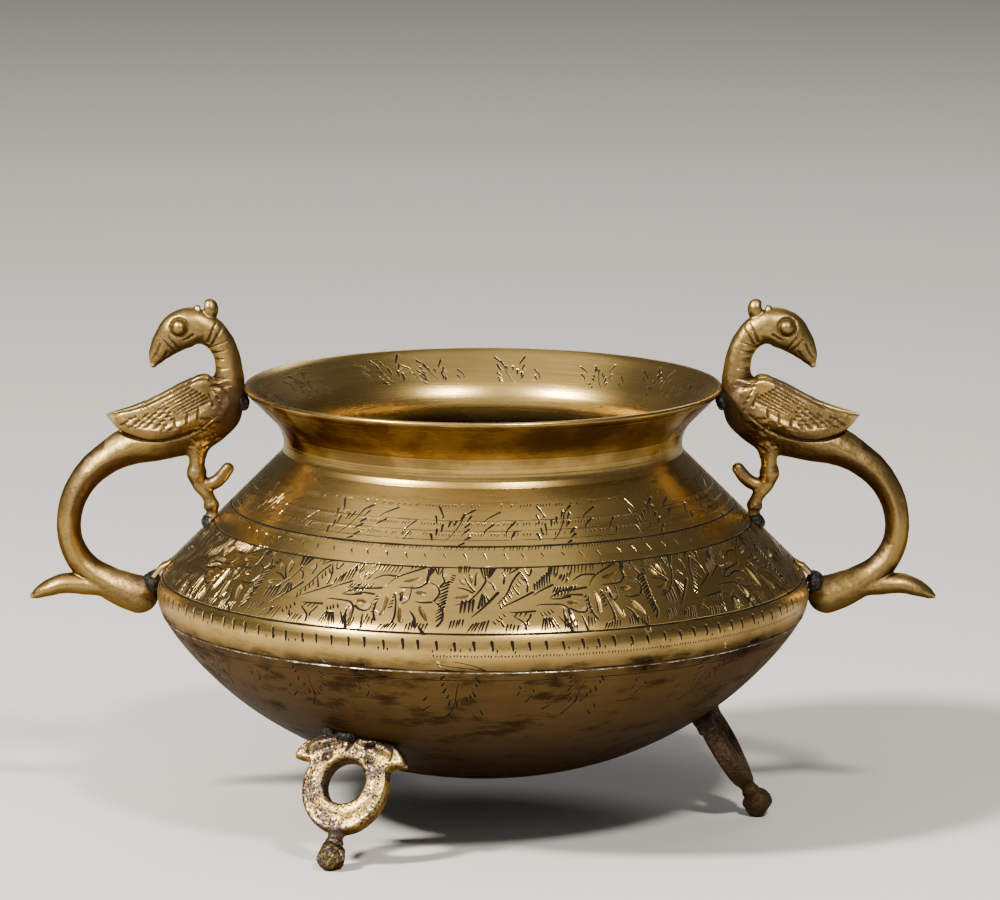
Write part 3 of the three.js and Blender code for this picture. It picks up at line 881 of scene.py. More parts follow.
class Casting:
    """A box of grid points that hold the distance to a solid's surface, negative inside it."""

    def __init__(self, low, high, step):
        self.low, self.step = np.array(low, float), step
        axes = [np.arange(a, b + step, step, dtype=np.float32) for a, b in zip(low, high)]
        self.x, self.y, self.z = np.meshgrid(*axes, indexing="ij", sparse=True)
        self.values = np.full([len(axis) for axis in axes], EMPTY, np.float32)

    def add(self, shape, blend=0.05):
        self.values = smallest(self.values, shape, blend)

    def cut(self, shape, blend=0.05):
        self.values = -smallest(-self.values, shape, blend)

    def bar(self, stations, ridge=2.0):
        """A bar along (x, z, half height, half width). Under 2, ridge puts an edge along its sides."""
        line = smooth_line(stations, 1.0)
        x, z = self.x[:, 0], self.z[0]
        nearest = np.full((x.size, z.size), 1e6, np.float32)
        height, width = np.ones_like(nearest), np.ones_like(nearest)
        for p, q in zip(line[:-1], line[1:]):
            along, gap = beside(p, q, x, z)
            closer = gap < nearest
            nearest = np.where(closer, gap, nearest)
            height = np.where(closer, p[2] + along * (q[2] - p[2]), height)
            width = np.where(closer, p[3] + along * (q[3] - p[3]), width)
        height, width = height[:, None], width[:, None]
        up = np.sqrt(nearest)[:, None] / height + OFF_CENTRE
        out = abs(self.y) / width + OFF_CENTRE
        size = (up**ridge + out**ridge) ** (1 / ridge)
        slope = np.sqrt((up ** (ridge - 1) / height) ** 2 + (out ** (ridge - 1) / width) ** 2)
        return (size - 1) * size ** (ridge - 1) / slope

    def ball(self, centre, radii):
        axes = zip((self.x, self.y, self.z), centre, radii)
        scaled = [(axis - c) / r + OFF_CENTRE for axis, c, r in axes]
        size = np.sqrt(sum(part**2 for part in scaled))
        return (size - 1) * size / np.sqrt(sum((part / r) ** 2 for part, r in zip(scaled, radii)))

    def scratched(self, strokes, depth):
        """Cuts seen from the side, y: sinks them into the solid, and keeps how black each point is."""
        x, z = np.meshgrid(self.x.ravel(), self.z.ravel(), indexing="ij")
        spots = np.stack([x.ravel(), z.ravel()], 1)
        _, sunk, fill = clearance(spots, [Stroke(*stroke) for stroke in strokes])
        self.values += (depth * sunk).reshape(x.shape)[:, None] * (abs(self.y) - 0.8).clip(0, 1)
        self.black = fill.reshape(x.shape)

    def grid(self):
        return np.stack(np.broadcast_arrays(self.x, self.y, self.z), -1)

    def grain(self, cell):
        """Smooth noise from -1 to 1 with lumps about cell across."""
        shape = self.values.shape
        coarse = draw.uniform(-1, 1, [math.ceil(n * self.step / cell) + 2 for n in shape])
        for axis, count in enumerate(shape):
            spot = np.arange(count) * self.step / cell
            base = spot.astype(int)
            share = (spot - base).reshape([-1 if i == axis else 1 for i in range(3)])
            share = share * share * (3 - 2 * share)
            coarse = coarse.take(base, axis) * (1 - share) + coarse.take(base + 1, axis) * share
        return coarse.astype(np.float32)

    def roughened(self, cell, amount, pits=0.0):
        """Casting grain, and pits where it peaks."""
        grain = self.grain(cell)
        self.values += amount * grain + pits * (grain - 0.35).clip(0, 1)

    def pitted(self):
        """Small pits, gathered on the breast, where the mould's skin was left as it was cast."""
        breast = np.exp(-(((self.x - 99) / 9) ** 2) - ((self.z - 139) / 8) ** 2)
        self.values += 1.1 * (self.grain(0.95) - 0.25).clip(0, 1) * (0.05 + breast)

    def both_sides(self):
        """Mirrors a casting that was drawn for y from 0 upwards."""
        self.values = np.concatenate([self.values[:, :0:-1], self.values], 1)
        self.low[1] = -self.y.max()

    def sample(self, points):
        """The distance at any points in the box, from the eight grid points round each."""
        spot = (points - self.low) / self.step
        spot = spot.clip(0, np.array(self.values.shape) - 1.001)
        base = spot.astype(int)
        share = spot - base
        total = 0
        for side in np.ndindex(2, 2, 2):
            weight = np.where(side, share, 1 - share).prod(1)
            total = total + weight * self.values[tuple((base + side).T)]
        return total

    def blackness(self, points, middle):
        """How black the cuts are at points, which are left bright within middle of the mid plane."""
        spot = np.round((points[:, [0, 2]] - self.low[[0, 2]]) / self.step).astype(int)
        return self.black[spot[:, 0], spot[:, 1]] * (abs(points[:, 1]) > middle)

    def surface(self):
        """The solid's surface as (points, quads): one point in each grid cell that it passes."""
        unit = np.eye(3, dtype=int)
        inside = self.values < 0
        x, y, z = [n - 1 for n in inside.shape]
        corners = [inside[i : x + i, j : y + j, k : z + k] for i, j, k in np.ndindex(2, 2, 2)]
        mixed = np.logical_or.reduce(corners) & ~np.logical_and.reduce(corners)
        cells = np.argwhere(mixed)
        number = np.full(mixed.shape, -1)
        number[mixed] = np.arange(len(cells))
        total, hits = np.zeros((len(cells), 3)), np.zeros(len(cells))
        for axis in range(3):
            along, aside = unit[axis], (unit[(axis + 1) % 3], unit[(axis + 2) % 3])
            for a, b in np.ndindex(2, 2):
                start = cells + a * aside[0] + b * aside[1]
                end = start + along
                first, last = self.values[tuple(start.T)], self.values[tuple(end.T)]
                crossed = (first < 0) != (last < 0)
                share = np.where(crossed, first / np.where(crossed, first - last, 1), 0)
                total += np.where(crossed[:, None], start + share[:, None] * along, 0)
                hits += crossed
        points = self.low + self.step * total / hits[:, None]
        quads = []
        for axis in range(3):
            along, first, second = unit[axis], unit[(axis + 1) % 3], unit[(axis + 2) % 3]
            before = inside[tuple(slice(0 if i == axis else 1, -1) for i in range(3))]
            after = inside[tuple(slice(1, None if i == axis else -1) for i in range(3))]
            for leaving in (True, False):
                edges = np.argwhere((before != after) & (before == leaving)) + 1 - along
                ring = [edges, edges - first, edges - first - second, edges - second]
                ids = np.stack([number[tuple(cell.T)] for cell in ring], 1)
                quads.append(ids if leaving else ids[:, ::-1])
        return points, np.concatenate(quads)

    def shade_values(self, points):
        """How hollow each point's place is, and how near an edge, from 0 to 1.

        The hollows get grime and painted shade, and hands polish the edges.
        """
        step = np.eye(3) * self.step
        facing = np.stack([self.sample(points + d) - self.sample(points - d) for d in step], 1)
        facing /= np.maximum(np.linalg.norm(facing, axis=1), 1e-6)[:, None]
        near = self.sample(points + HOLLOW_NEAR * facing) / HOLLOW_NEAR
        far = self.sample(points + HOLLOW_FAR * facing) / HOLLOW_FAR
        worn = 1 + self.sample(points - EDGE_REACH * facing) / EDGE_REACH
        return {"hollow": (1 - 0.5 * near - 0.5 * far).clip(0, 1), "edge": worn.clip(0, 1)}


TABLE_RADIUS, TABLE_FOOT, TABLE_HEIGHT = 190, -10, 210


def pot_table():
    """How far each whole millimetre of radius and height is outside the pot, taken as solid."""
    r, z = np.meshgrid(np.arange(TABLE_RADIUS), TABLE_FOOT + np.arange(TABLE_HEIGHT), indexing="ij")
    top = outside.points[-1, 1]
    edge = np.concatenate([outside.points[::2], line((RIM_RADIUS, top), (0, top), 2.0)])
    gaps = [np.hypot(r - a, z - b) for a, b in edge]
    within = (r < np.interp(z, outside.points[:, 1], outside.points[:, 0])) & (z > BASE_HEIGHT)
    return np.minimum.reduce(gaps) * np.where(within & (z < top), -1, 1)


POT_TABLE = pot_table()


def pot_distance(points):
    """How far points are outside the pot, negative inside it."""
    r = np.hypot(points[..., 0], points[..., 1]).clip(0, TABLE_RADIUS - 2)
    z = (points[..., 2] - TABLE_FOOT).clip(0, TABLE_HEIGHT - 2)
    i, j = r.astype(int), z.astype(int)
    a, b = r - i, z - j
    lower = POT_TABLE[i, j] * (1 - a) + POT_TABLE[i + 1, j] * a
    upper = POT_TABLE[i, j + 1] * (1 - a) + POT_TABLE[i + 1, j + 1] * a
    return (lower * (1 - b) + upper * b).astype(np.float32)


def casting_piece(name, node, material, points, quads, values, axes, origin=(0, 0, 0)):
    """A casting's surface as a piece, turned by axes, which may mirror it, and moved to origin."""
    if np.linalg.det(axes) < 0:
        quads = quads[:, ::-1]
    return mesh_piece(name, node, material, points @ axes.T + origin, quads, None, values)


def solder_piece(name, node, material, lumps, axes, origin=(0, 0, 0)):
    points, quads = lumps.surface()
    values = lumps.shade_values(points)
    return casting_piece(name, node, material, points, quads, values, axes, origin)


def outline_distance(outline, x, z):
    """Distance to a closed outline in the plane, negative inside it."""
    nearest = np.full(np.broadcast(x, z).shape, np.inf)
    inside = np.zeros(nearest.shape, bool)
    for p, q in zip(outline, np.roll(outline, -1, axis=0)):
        nearest = np.minimum(nearest, beside(p, q, x, z)[1])
        spans = (z < p[1]) != (z < q[1])
        rise = q[1] - p[1] if abs(q[1] - p[1]) > TINY else TINY
        inside ^= spans & (x < p[0] + (z - p[1]) * (q[0] - p[0]) / rise)
    distance = np.sqrt(nearest)
    return np.where(inside, -distance, distance).astype(np.float32)


# ---- The peacock handles. Places are (x, z) on the right-hand bird, seen from its side ----
BODY_AND_TAIL = [
    (86.6, 152.5, 2, 2.4),
    (90.5, 151, 7.8, 6.4),
    (96, 148.6, 10.6, 8.4),
    (103, 145.2, 12, 9.2),
    (111, 141.4, 10.8, 8.6),
    (119, 138, 9, 7.6),
    (127, 135, 7.2, 6.6),
    (134, 131.2, 6, 5.8),
    (140.3, 126.4, 5.4, 5.4),
    (145, 120.6, 4.9, 5.2),
    (148, 114, 4.6, 5),
    (149.2, 107, 4.4, 4.9),
    (148.4, 100, 4.5, 4.9),
    (145.6, 93.8, 4.8, 5),
    (141, 88.8, 5.3, 5.2),
    (135, 85, 6, 5.4),
    (129, 82.2, 6.7, 5.6),
    (124, 80.6, 7, 5.6),
]
TAIL_TIP = [
    (137, 83, 3, 4),
    (144, 84.4, 3.9, 4.9),
    (151, 84.6, 3.7, 4.8),
    (157, 82.8, 3, 4.2),
    (161, 80.8, 1.9, 2.8),
    (162.4, 80.1, 1.1, 1.8),
]
NECK_AND_HEAD = [
    (94, 149, 7, 6.4),
    (91.4, 157, 5.9, 5.4),
    (91.2, 163, 4.9, 4.7),
    (92.2, 168.6, 4.6, 4.3),
    (94.9, 173.6, 4.9, 4.4),
    (99.2, 177.2, 5.7, 4.9),
    (104.4, 178.2, 7, 5.4),
    (109.2, 176.4, 7, 5.2),
    (113.2, 172.8, 5.6, 4.2),
    (116, 169.2, 4, 3),
    (117.4, 166.6, 2.7, 2.1),
    (118.3, 164.6, 1.3, 1.2),
]
LEG_AND_CLAW = [
    (102.4, 136, 4.6, 5.4),
    (102.8, 130, 3, 3.6),
    (103.2, 125, 2.7, 3),
    (102.2, 121, 2.6, 2.8),
    (99.8, 118, 2.4, 2.7),
    (98.4, 115.4, 2.3, 2.5),
    (97.8, 113, 2.9, 3.1),
    (97.5, 111, 2.1, 2.4),
    (97.6, 108.8, 2.8, 3.2),
    (97.8, 106, 2.6, 3),
]
SPUR = [
    (101.6, 120.8, 2.3, 2.3),
    (97.4, 121.2, 2.5, 2.4),
    (94.2, 123.4, 2.4, 2.3),
    (91.8, 126.6, 2.2, 2.1),
]
WING_TOP = [
    (93.3, 154.8),
    (96.4, 158.6),
    (100.6, 160),
    (108.5, 157.4),
    (116.8, 152.9),
    (125.1, 149),
    (135.4, 146.6),
]
WING_FOOT = [
    (135.4, 146),
    (131.4, 141.8),
    (125.2, 139.3),
    (118.6, 138.3),
    (110.4, 139.5),
    (102.1, 142.6),
    (95.4, 147.8),
    (92.9, 152.5),
]
WING_WIDTHS = [
    (92, 5.6),
    (96, 7.8),
    (101, 10),
    (108, 11.4),
    (116, 10.8),
    (124, 8.8),
    (130.4, 5.8),
    (135.6, 2.6),
]
WING_RIDGE = 3.8  # how far above a wing's lower edge its ridge runs
BIRD_STEP = 0.37
SOLDER_GAP = 0.15  # what is left free between a bird and the pot
EYE = (108.8, 178.6)
ARCH_CENTRE, ARCH_RADIUS = (124, 108.5), 25.6


def head_cuts():
    """Two rings round the head, the beak's lines, the eyelid and the neck's ribs."""
    lines = cuts(
        0.5,
        [(95.4, 180.8), (96.9, 177.4), (98.4, 173.4)],
        [(93, 179.2), (94.8, 176.2), (97, 172.4)],
        [(107.9, 174), (106, 174.6), (103.6, 176.1)],
        [(109.2, 171.1), (105.4, 171.4), (101.4, 173)],
        [(115.6, 175.2), (112.8, 172.2), (109.8, 168.8)],
        [(113.8, 176.8), (111.2, 173.6), (108.6, 170)],
        [(119.6, 166.4), (117.4, 168.4), (115.8, 172.2)],
        [(116.2, 163.4), (114.4, 166.6), (113.2, 169.4)],
    )
    eyelid = smooth_line([on_circle(EYE, 3.2, angle) for angle in np.linspace(0, 2 * math.pi, 17)], 0.6)
    lids = [(eyelid, np.full(len(eyelid), 0.55), 1.5, 0.8)]
    neck_ribs = fan((91.4, 173.4), (88.6, 157.4), (98.2, 170.8), (97.4, 157.4), 6, 0.5)
    ribs = [(rib[0] + draw.normal(0, 0.35, 2), rib[1], 0.8, 0.6) for rib in neck_ribs]
    return lines + lids + ribs


def wing_cuts():
    """Long feathers on the wing's shoulder, rows of short ones towards its tip, dashes on the breast."""
    feathers = fan((117.5, 150.2), (108.6, 147.4), (104.8, 157.4), (97.4, 152.8), 7, 0.52)
    back_feathers = fan((106.6, 156.8), (123, 149.2), (102.8, 160.4), (116.4, 153.6), 8, 0.5)
    long_cuts = cuts(
        0.6,
        [(98.7, 156.2), (96.6, 150.9)],
        [(101.8, 151.6), (102.2, 146.8)],
        [(105.8, 149), (106.1, 144.6)],
        [(110.5, 147.6), (110.5, 143.4)],
    )
    dashes = []
    for step in range(7):
        x, z = 97.4 - 0.9 * step + draw.normal(0, 0.3), 160.6 - 2.1 * step
        dashes.append(graver([(x + 1.2, z + 0.6), (x, z - 1.2)], 0.2, 0.4))
    for row in range(6):
        for column in range(7):
            x = 111.4 + 2.9 * column + 1.3 * (row % 2) + draw.normal(0, 0.3)
            z = 143 + 1.35 * row - (0.06 * row - 0.1) * column + draw.normal(0, 0.2)
            if z < 151.8 - 0.42 * (x - 112):
                start = (x + draw.uniform(1.6, 2.4), z - 0.7)
                dashes.append(graver([start, (x, z + 0.2)], 0.2, 0.46))
    return feathers + back_feathers + long_cuts + dashes


def wing(bird):
    """The two wings: a plate within the wing's outline, thick at its ridge and hollow between."""
    x, z = bird.x[:, 0], bird.z[0]
    foot = smooth_line(WING_FOOT, 1.0)
    within = outline_distance(np.concatenate([smooth_line(WING_TOP, 1.0), foot]), x, z)
    above = np.minimum.reduce([np.hypot(x - a, z - b) for a, b in foot])
    lift = np.minimum(above / WING_RIDGE, 1)
    beyond = (above - WING_RIDGE).clip(0)
    share = 0.76 + 0.24 * lift**0.7 - 0.07 * (beyond / 1.6).clip(0, 1) - 0.009 * beyond
    widths = np.interp(x[:, 0], *zip(*WING_WIDTHS))[:, None] * share
    plate = -smallest(-within[:, None], -(abs(bird.y) - widths[:, None]) * 0.9, 0.7)
    between = np.minimum(1.4 + 0.06 * (x - 96).clip(0, 20), 0.3 * widths)[:, None]
    return -smallest(-plate, -(between - abs(bird.y)), 0.8)


def peacock():
    """The right-hand bird as a casting, drawn for y from 0 upwards and then mirrored."""
    low, high = corner("peacock_handle_right", LOW), corner("peacock_handle_right", HIGH)
    bird = Casting((low.x - 2, 0, low.z - 2), (high.x + 2, high.y + 3, high.z + 2), BIRD_STEP)
    bird.add(bird.bar(BODY_AND_TAIL, 1.5))
    bird.add(bird.bar(TAIL_TIP, 1.8), 0.6)
    bird.add(bird.bar(NECK_AND_HEAD), 2.5)
    bird.add(bird.bar(LEG_AND_CLAW), 1.6)
    bird.add(bird.bar(SPUR), 1.0)
    crest, front_knob, notch = (97.8, 0, 184.4), (102.2, 0, 184), (100.6, 0, 186)
    eye, cheek, knee = (EYE[0], 4.5, EYE[1]), (102.6, 3, 176.6), (103, 0, 125)
    bird.add(bird.ball(crest, (3, 2.8, 4)), 0.6)
    bird.add(bird.ball(front_knob, (1.7, 1.9, 2.3)), 0.5)
    bird.cut(bird.ball(notch, (0.8, 4, 1.8)), 0.5)
    bird.add(bird.ball(eye, (2.8, 2.5, 2.8)), 0.3)
    bird.add(bird.ball(cheek, (3, 2.4, 2.6)), 1.2)
    bird.add(bird.ball(knee, (3.6, 3.7, 3.2)), 1.5)
    bird.add(wing(bird), 1.0 + 3.5 * ((102 - bird.x) / 8).clip(0, 1))
    crease_line = smooth_line(WING_FOOT[:-1], 1.0) - [0, 0.5]
    crease = (crease_line, np.linspace(0.9, 0.4, len(crease_line)), 1.0, 0.9)
    bird.scratched(head_cuts() + wing_cuts() + [crease], 1.5)
    bird.cut(pot_distance(bird.grid()) - SOLDER_GAP)
    bird.both_sides()
    bird.roughened(3.0, 0.1)
    bird.roughened(1.2, 0.04)
    bird.pitted()
    return bird


def bird_soot(points):
    """How black a bird is round its solder."""
    soldered = [(85.4, 151.6, 10), (89.6, 143, 8), (98, 107.6, 8), (96.4, 126.4, 4.5), (119, 86, 7.5)]
    x, _, z = points.T
    return sum(np.exp(-(((x - spot_x) ** 2 + (z - spot_z) ** 2) / r**2)) for spot_x, spot_z, r in soldered)


def arch_painted_shade(points):
    """Painted shade on the inner and the outer side of the tail's arch."""
    x, _, z = points.T
    away = np.hypot(x - ARCH_CENTRE[0], z - ARCH_CENTRE[1])
    above_tail = ((z - 89) / 6).clip(0, 1)
    inner_side = ((ARCH_RADIUS - away - 0.5) / 3.2).clip(0, 1) * above_tail
    outer_side = ((away - ARCH_RADIUS - 2) / 2.4).clip(0, 1) * above_tail * (x > 136)
    return (x > 104) * (z < 150) * (0.85 * inner_side + 0.6 * outer_side)


def peacock_handles(material):
    bird = peacock()
    points, quads = bird.surface()
    values = {"fill": bird.blackness(points, 1.5), "soot_and_shade": bird_soot(points), **bird.shade_values(points)}
    # Painted shade on the arch's sides is added to the hollows' value
    values["hollow"] = values["hollow"] + arch_painted_shade(points)
    for side, sign in SIDES:
        name, node, axes = f"peacock_{side}", f"peacock_handle_{side}", np.diag([sign, 1, 1])
        casting_piece(name, node, material, points, quads, values, axes)


# ---- The legs ----
FOOT_HEIGHT = 4.9
LEG_LEAN = math.radians(30)
LEG_FACING = {"leg_right": -4, "leg_back_left": 117, "leg_front_left": 247}
# Painted shade: how much darker each leg is painted, most on the legs turned away from the lamps
LEG_SHADE = {"leg_right": 0.85, "leg_back_left": 0.6, "leg_front_left": 0.0}
HALF_PLATE = [
    (0, 8.2),
    (3.6, 8.6),
    (8.2, 10.6),
    (12.4, 14.8),
    (15.2, 20.6),
    (15.8, 27.4),
    (14.8, 32.4),
    (16.6, 33.8),
    (20.9, 34.8),
    (18.6, 39.6),
    (12.6, 43.2),
    (5, 44.4),
]
HEAD_LOBE = [
    (3, 41.6, 2.6, 3.8),
    (8, 41, 3.4, 4.2),
    (13, 39.4, 3.3, 4.2),
    (17, 37, 2.4, 3.2),
    (20.6, 34.9, 0.7, 1),
]
LEG_STEM = [(0, 11.5, 4.2, 3.4), (0, 8.8, 3.2, 3.1), (0, 6.6, 2.7, 2.7), (0, 5.2, 3.3, 3.3)]
RING_CENTRE, RING_HOLE, RING_SQUASH = 26.7, 7.6, 0.95
KNOB_RADIUS, KNOB_FACETS, FACET_DISTANCE = 5.5, 11, 4.55
LEG_GAP = 0.25  # what is left free between a leg and the pot
LEG_STEP = 0.27


def leg_frame(name):
    """(matrix, origin) of a leg: its columns are across it, through its thickness, and up it."""
    foot_name = name.replace("leg", "foot")
    foot = next(mount["pos_m"] for mount in frame["record"]["mounts"] if mount["name"] == foot_name)
    facing = math.radians(LEG_FACING[name])
    outward = np.array([math.cos(facing), math.sin(facing), 0])
    across = np.array([-math.sin(facing), math.cos(facing), 0])
    up = -math.sin(LEG_LEAN) * outward + [0, 0, math.cos(LEG_LEAN)]
    through = math.cos(LEG_LEAN) * outward + [0, 0, math.sin(LEG_LEAN)]
    return np.stack([across, through, up], 1), np.array([foot[0] / MM, foot[1] / MM, FOOT_HEIGHT])


def from_hole(x, z):
    """How far outside the hole of the ring a place is."""
    return np.hypot(x, (z - RING_CENTRE) * RING_SQUASH) - RING_HOLE


def leg_marks():
    """The lines of the beaks, the crossed necks, and the one eye that is cut."""
    eye = (np.array([(5.8, 39.4), (8.8, 41)]), np.array([0.9, 1.1]), 1.6, 0.3)
    beaks = cuts(
        0.4,
        [(15.4, 41), (16.4, 38.4), (15.6, 35.6)],
        [(-15.4, 41), (-16.4, 38.4), (-15.6, 35.6)],
    )
    necks = cuts(1.2, [(-1.6, 36.8), (-0.4, 40.2), (1.6, 46)])
    necks += cuts(
        0.45,
        [(-3, 38.6), (-3.4, 41.2), (-5.6, 45.6)],
        [(-4.6, 39.6), (-5.2, 41.6), (-7.2, 45.4)],
    )
    return beaks + necks + [eye]


def leg_casting(axes, origin):
    """A leg in its own frame, from the middle of its knob: a ringed plate, two heads, stem and knob."""
    plate = Casting((-23, -6.6, -6.6), (23, 6.6, 48), LEG_STEP)
    x, z = plate.x[:, 0], plate.z[0]
    half = smooth_line(HALF_PLATE, 1.2)
    within = outline_distance(np.concatenate([half, (half * [-1, 1])[::-1]]), x, z)
    flat = -smallest(-within, from_hole(x, z), 0.5)[:, None]
    from_centre = np.hypot(x, z - RING_CENTRE)
    waist = 3.1 + 0.7 * np.exp(-((from_centre - 10.8) ** 2) / 7)[:, None]
    plate.add(-smallest(-flat, -(abs(plate.y) - waist), 1.5).astype(np.float32))
    for side in (-1, 1):
        plate.add(plate.bar([(side * x, *rest) for x, *rest in HEAD_LOBE], 1.7), 0.8)
        for face in (-1, 1):
            eye, throat = (7.2, face * 4.3, 40.2), (side * 8.2, face * 4.9, 35.2)
            if side > 0:
                plate.cut(plate.ball(eye, (2.1, 2.1, 1.1)), 0.3)
            plate.cut(plate.ball(throat, (2.4, 2.2, 1.8)), 0.9)
    plate.add(plate.bar(LEG_STEM), 1.0)
    knob = plate.ball((0, 0, 0), [KNOB_RADIUS] * 3)
    for _ in range(KNOB_FACETS):
        facet = draw.normal(0, 1, 3)
        facet /= np.linalg.norm(facet)
        side = plate.x * facet[0] + plate.y * facet[1] + plate.z * facet[2] - FACET_DISTANCE
        knob = np.maximum(knob, side)
    plate.add(knob.astype(np.float32), 0.4)
    plate.scratched(leg_marks(), 1.5)
    world = plate.grid() @ axes.T + origin
    plate.cut(pot_distance(world) - LEG_GAP)
    plate.cut(world[..., 2].astype(np.float32))
    plate.roughened(3.4, 0.03)
    plate.roughened(0.6, 0.02, 0.6)
    return plate


def leg_soot_and_shade(name, points):
    """How sooted a leg is: by the pot, at its stem and its foot, in its hole and in two patches, with
    painted shade given to each leg on top.
    """
    x, _, z = points.T
    # The first term is the leg's painted shade, and the rest is soot
    soot_and_shade = LEG_SHADE[name] + np.exp(-(((z - 46) / 5.5) ** 2))
    soot_and_shade = soot_and_shade + 0.85 * np.exp(-(((z - 7) / 3) ** 2)) + 0.22 * (z < 3.6)
    soot_and_shade = soot_and_shade + 0.75 * ((1.1 - abs(from_hole(x, z))) / 0.8).clip(0, 1)
    soot_and_shade = soot_and_shade + 0.5 * np.exp(-(((x + 8) / 3.2) ** 2) - ((z - 37.6) / 2.2) ** 2)
    return soot_and_shade + 0.4 * np.exp(-(((x + 4) / 4) ** 2) - ((z - 13.4) / 3) ** 2)


def leg(name, material, solder):
    axes, origin = leg_frame(name)
    plate = leg_casting(axes, origin)
    points, quads = plate.surface()
    black, soot_and_shade = plate.blackness(points, 1), leg_soot_and_shade(name, points)
    values = {"fill": black, "soot_and_shade": soot_and_shade, **plate.shade_values(points)}
    casting_piece(f"{name}_cast", name, material, points, quads, values, axes, origin)

    lumps = Casting((-15, -8, 36), (15, 8, 50), 0.4)
    for _ in range(15):
        centre = draw.uniform((-9.5, -4.2, 41), (9.5, 4.2, 46))
        lumps.add(lumps.ball(centre, draw.uniform(1.8, 3.4, 3)), 0.9)
    clear = pot_distance(lumps.grid() @ axes.T + origin)
    lumps.cut(clear - 0.05)
    lumps.cut(2.6 - clear, 1.2)
    lumps.roughened(1.2, 0.3, 0.5)
    solder_piece(f"{name}_joint", f"{name}_solder", solder, lumps, axes, origin)


# ---- Solder and straps of the handles, and the brazed seams ----
SOLDER_SPOTS = {
    "claw": ((98, 0, 107.4), (2.9, 3.8, 2.3)),
    "tail": ((119.4, 0, 85.4), (3.0, 5.0, 3.5)),
    "rim": ((86, 0, 151.4), (2.1, 3.6, 3.0)),
}
STRAP_START = (112.6, 93.9)
STRAP_LENGTH, STRAP_WIDTH, STRAP_THICKNESS = 10.6, 7.0, 1.6


def handle_solder(material):
    for spot, (centre, size) in SOLDER_SPOTS.items():
        centre, size = np.array(centre), np.array(size)
        for side, sign in SIDES:
            lumps = Casting(centre - size - 2.5, centre + size + 2.5, 0.3)
            for _ in range(9):
                place = centre + draw.uniform(-0.45, 0.45, 3) * size
                lumps.add(lumps.ball(place, size * draw.uniform(0.45, 0.8, 3)), 1.8)
            lumps.cut(pot_distance(lumps.grid()) - 0.05)
            lumps.roughened(1.1, 0.25, 0.3)
            name, node = f"{spot}_joint_{side}", f"{spot}_solder_{side}"
            solder_piece(name, node, material, lumps, np.diag([sign, 1, 1]))


def straps(material):
    """The brass strap that ties each tail to the shoulder, a little bent, with worn edges."""
    along, up = (math.cos(SLOPE), 0, -math.sin(SLOPE)), (math.sin(SLOPE), 0, math.cos(SLOPE))
    lying = np.stack([along, (0, 1, 0), up], 1)
    for side, sign in SIDES:
        strap = Casting((-2, -5.5, -3.5), (STRAP_LENGTH + 2, 5.5, 3), 0.22)
        bend = 0.03 * (strap.x - 6).clip(0, 9) ** 2
        half_width = STRAP_WIDTH / 2 - 0.06 * (strap.x - 5).clip(0, 9)
        half_thickness = STRAP_THICKNESS / 2 * (strap.x / 4).clip(0.45, 1)
        box = [
            abs(strap.x - STRAP_LENGTH / 2) - STRAP_LENGTH / 2,
            abs(strap.y) - half_width + 0 * strap.z,
            abs(strap.z + bend + STRAP_THICKNESS / 2 - half_thickness) - half_thickness,
        ]
        solid = -smallest(-box[0], -box[1], 1.2)
        strap.add(-smallest(-solid, -box[2], 0.5).astype(np.float32))
        strap.roughened(1.4, 0.12, 0.1)
        points, quads = strap.surface()
        values = strap.shade_values(points)
        name, node, axes = f"strap_{side}", f"tail_strap_{side}", np.diag([sign, 1, 1]) @ lying
        origin = (sign * STRAP_START[0], 0, STRAP_START[1])
        casting_piece(name, node, material, points, quads, values, axes, origin)


def braze_fillet(name, node, seam, material):
    """The uneven ring of spelter inside a lap. Its section is a wedge against the skirt's end."""
    shell = Shell()
    start = seam - LAP - 0.1
    turns = shell.turns
    rings = []
    swell = 1 + 0.18 * np.sin(7 * turns + 1) + 0.12 * np.sin(19 * turns)
    swell = swell + draw.uniform(-0.12, 0.12, COLUMNS)
    for along, depth in ((0, WALL), (0, WALL + GAP + SKIRT), (-0.9, WALL + 1.1), (-BRAZE_LENGTH, WALL)):
        place = outside.at(start + along, depth)
        anchor = outside.at(start, WALL)
        spots = shell.around(turns, anchor) + shell.around(turns, place - anchor) * swell[:, None]
        normal = outside.at(start + along, depth + 1) - outside.at(start + along, depth)
        rings.append(shell.add(spots, shell.around(turns, normal)))
    shell.close(rings)
    return shell.piece(name, node, "braze", material)


def seam_bead(material):
    """The thin line of solder that shows in the belly seam. It swells and fades round the pot."""
    shell = Shell(BEAD_COLUMNS)
    turns = shell.turns
    waves = sum(np.sin(count * turns + draw.uniform(0, 6)) / 4 for count in (3, 7, 12, 19, 31, 53, 77))
    bright_patch = np.exp(-(((turns + math.radians(30)) / 0.16) ** 2))
    swell = (0.3 + 0.35 * waves + 0.9 * bright_patch * (1 + np.sin(60 * turns)) / 2).clip(0.04, 1)
    swell *= draw.uniform(0.7, 1.1, BEAD_COLUMNS)
    middle = BELLY_SEAM - GAP / 2
    normal = outside.from_chart(outside.chart_at(middle))[1]
    rings = []
    for along, rise in ((-1, -0.4), (-0.7, 0.55), (0, 1), (0.7, 0.55), (1, -0.4), (0, -1)):
        line_run = np.stack([np.full(len(turns), middle), 0 * turns], 1)
        line_run += np.stack([0.5 * along * swell, -0.32 * rise * swell], 1)
        flat = np.stack([outside.at(length, depth) for length, depth in line_run])
        facing = normal * max(rise, 0.1) + np.array([-normal[1], normal[0]]) * along
        rings.append(shell.add(shell.around(turns, flat), shell.around(turns, facing)))
    shell.close(rings)
    return shell.piece("belly_seam_bead", "belly_seam_braze", "solder", material)


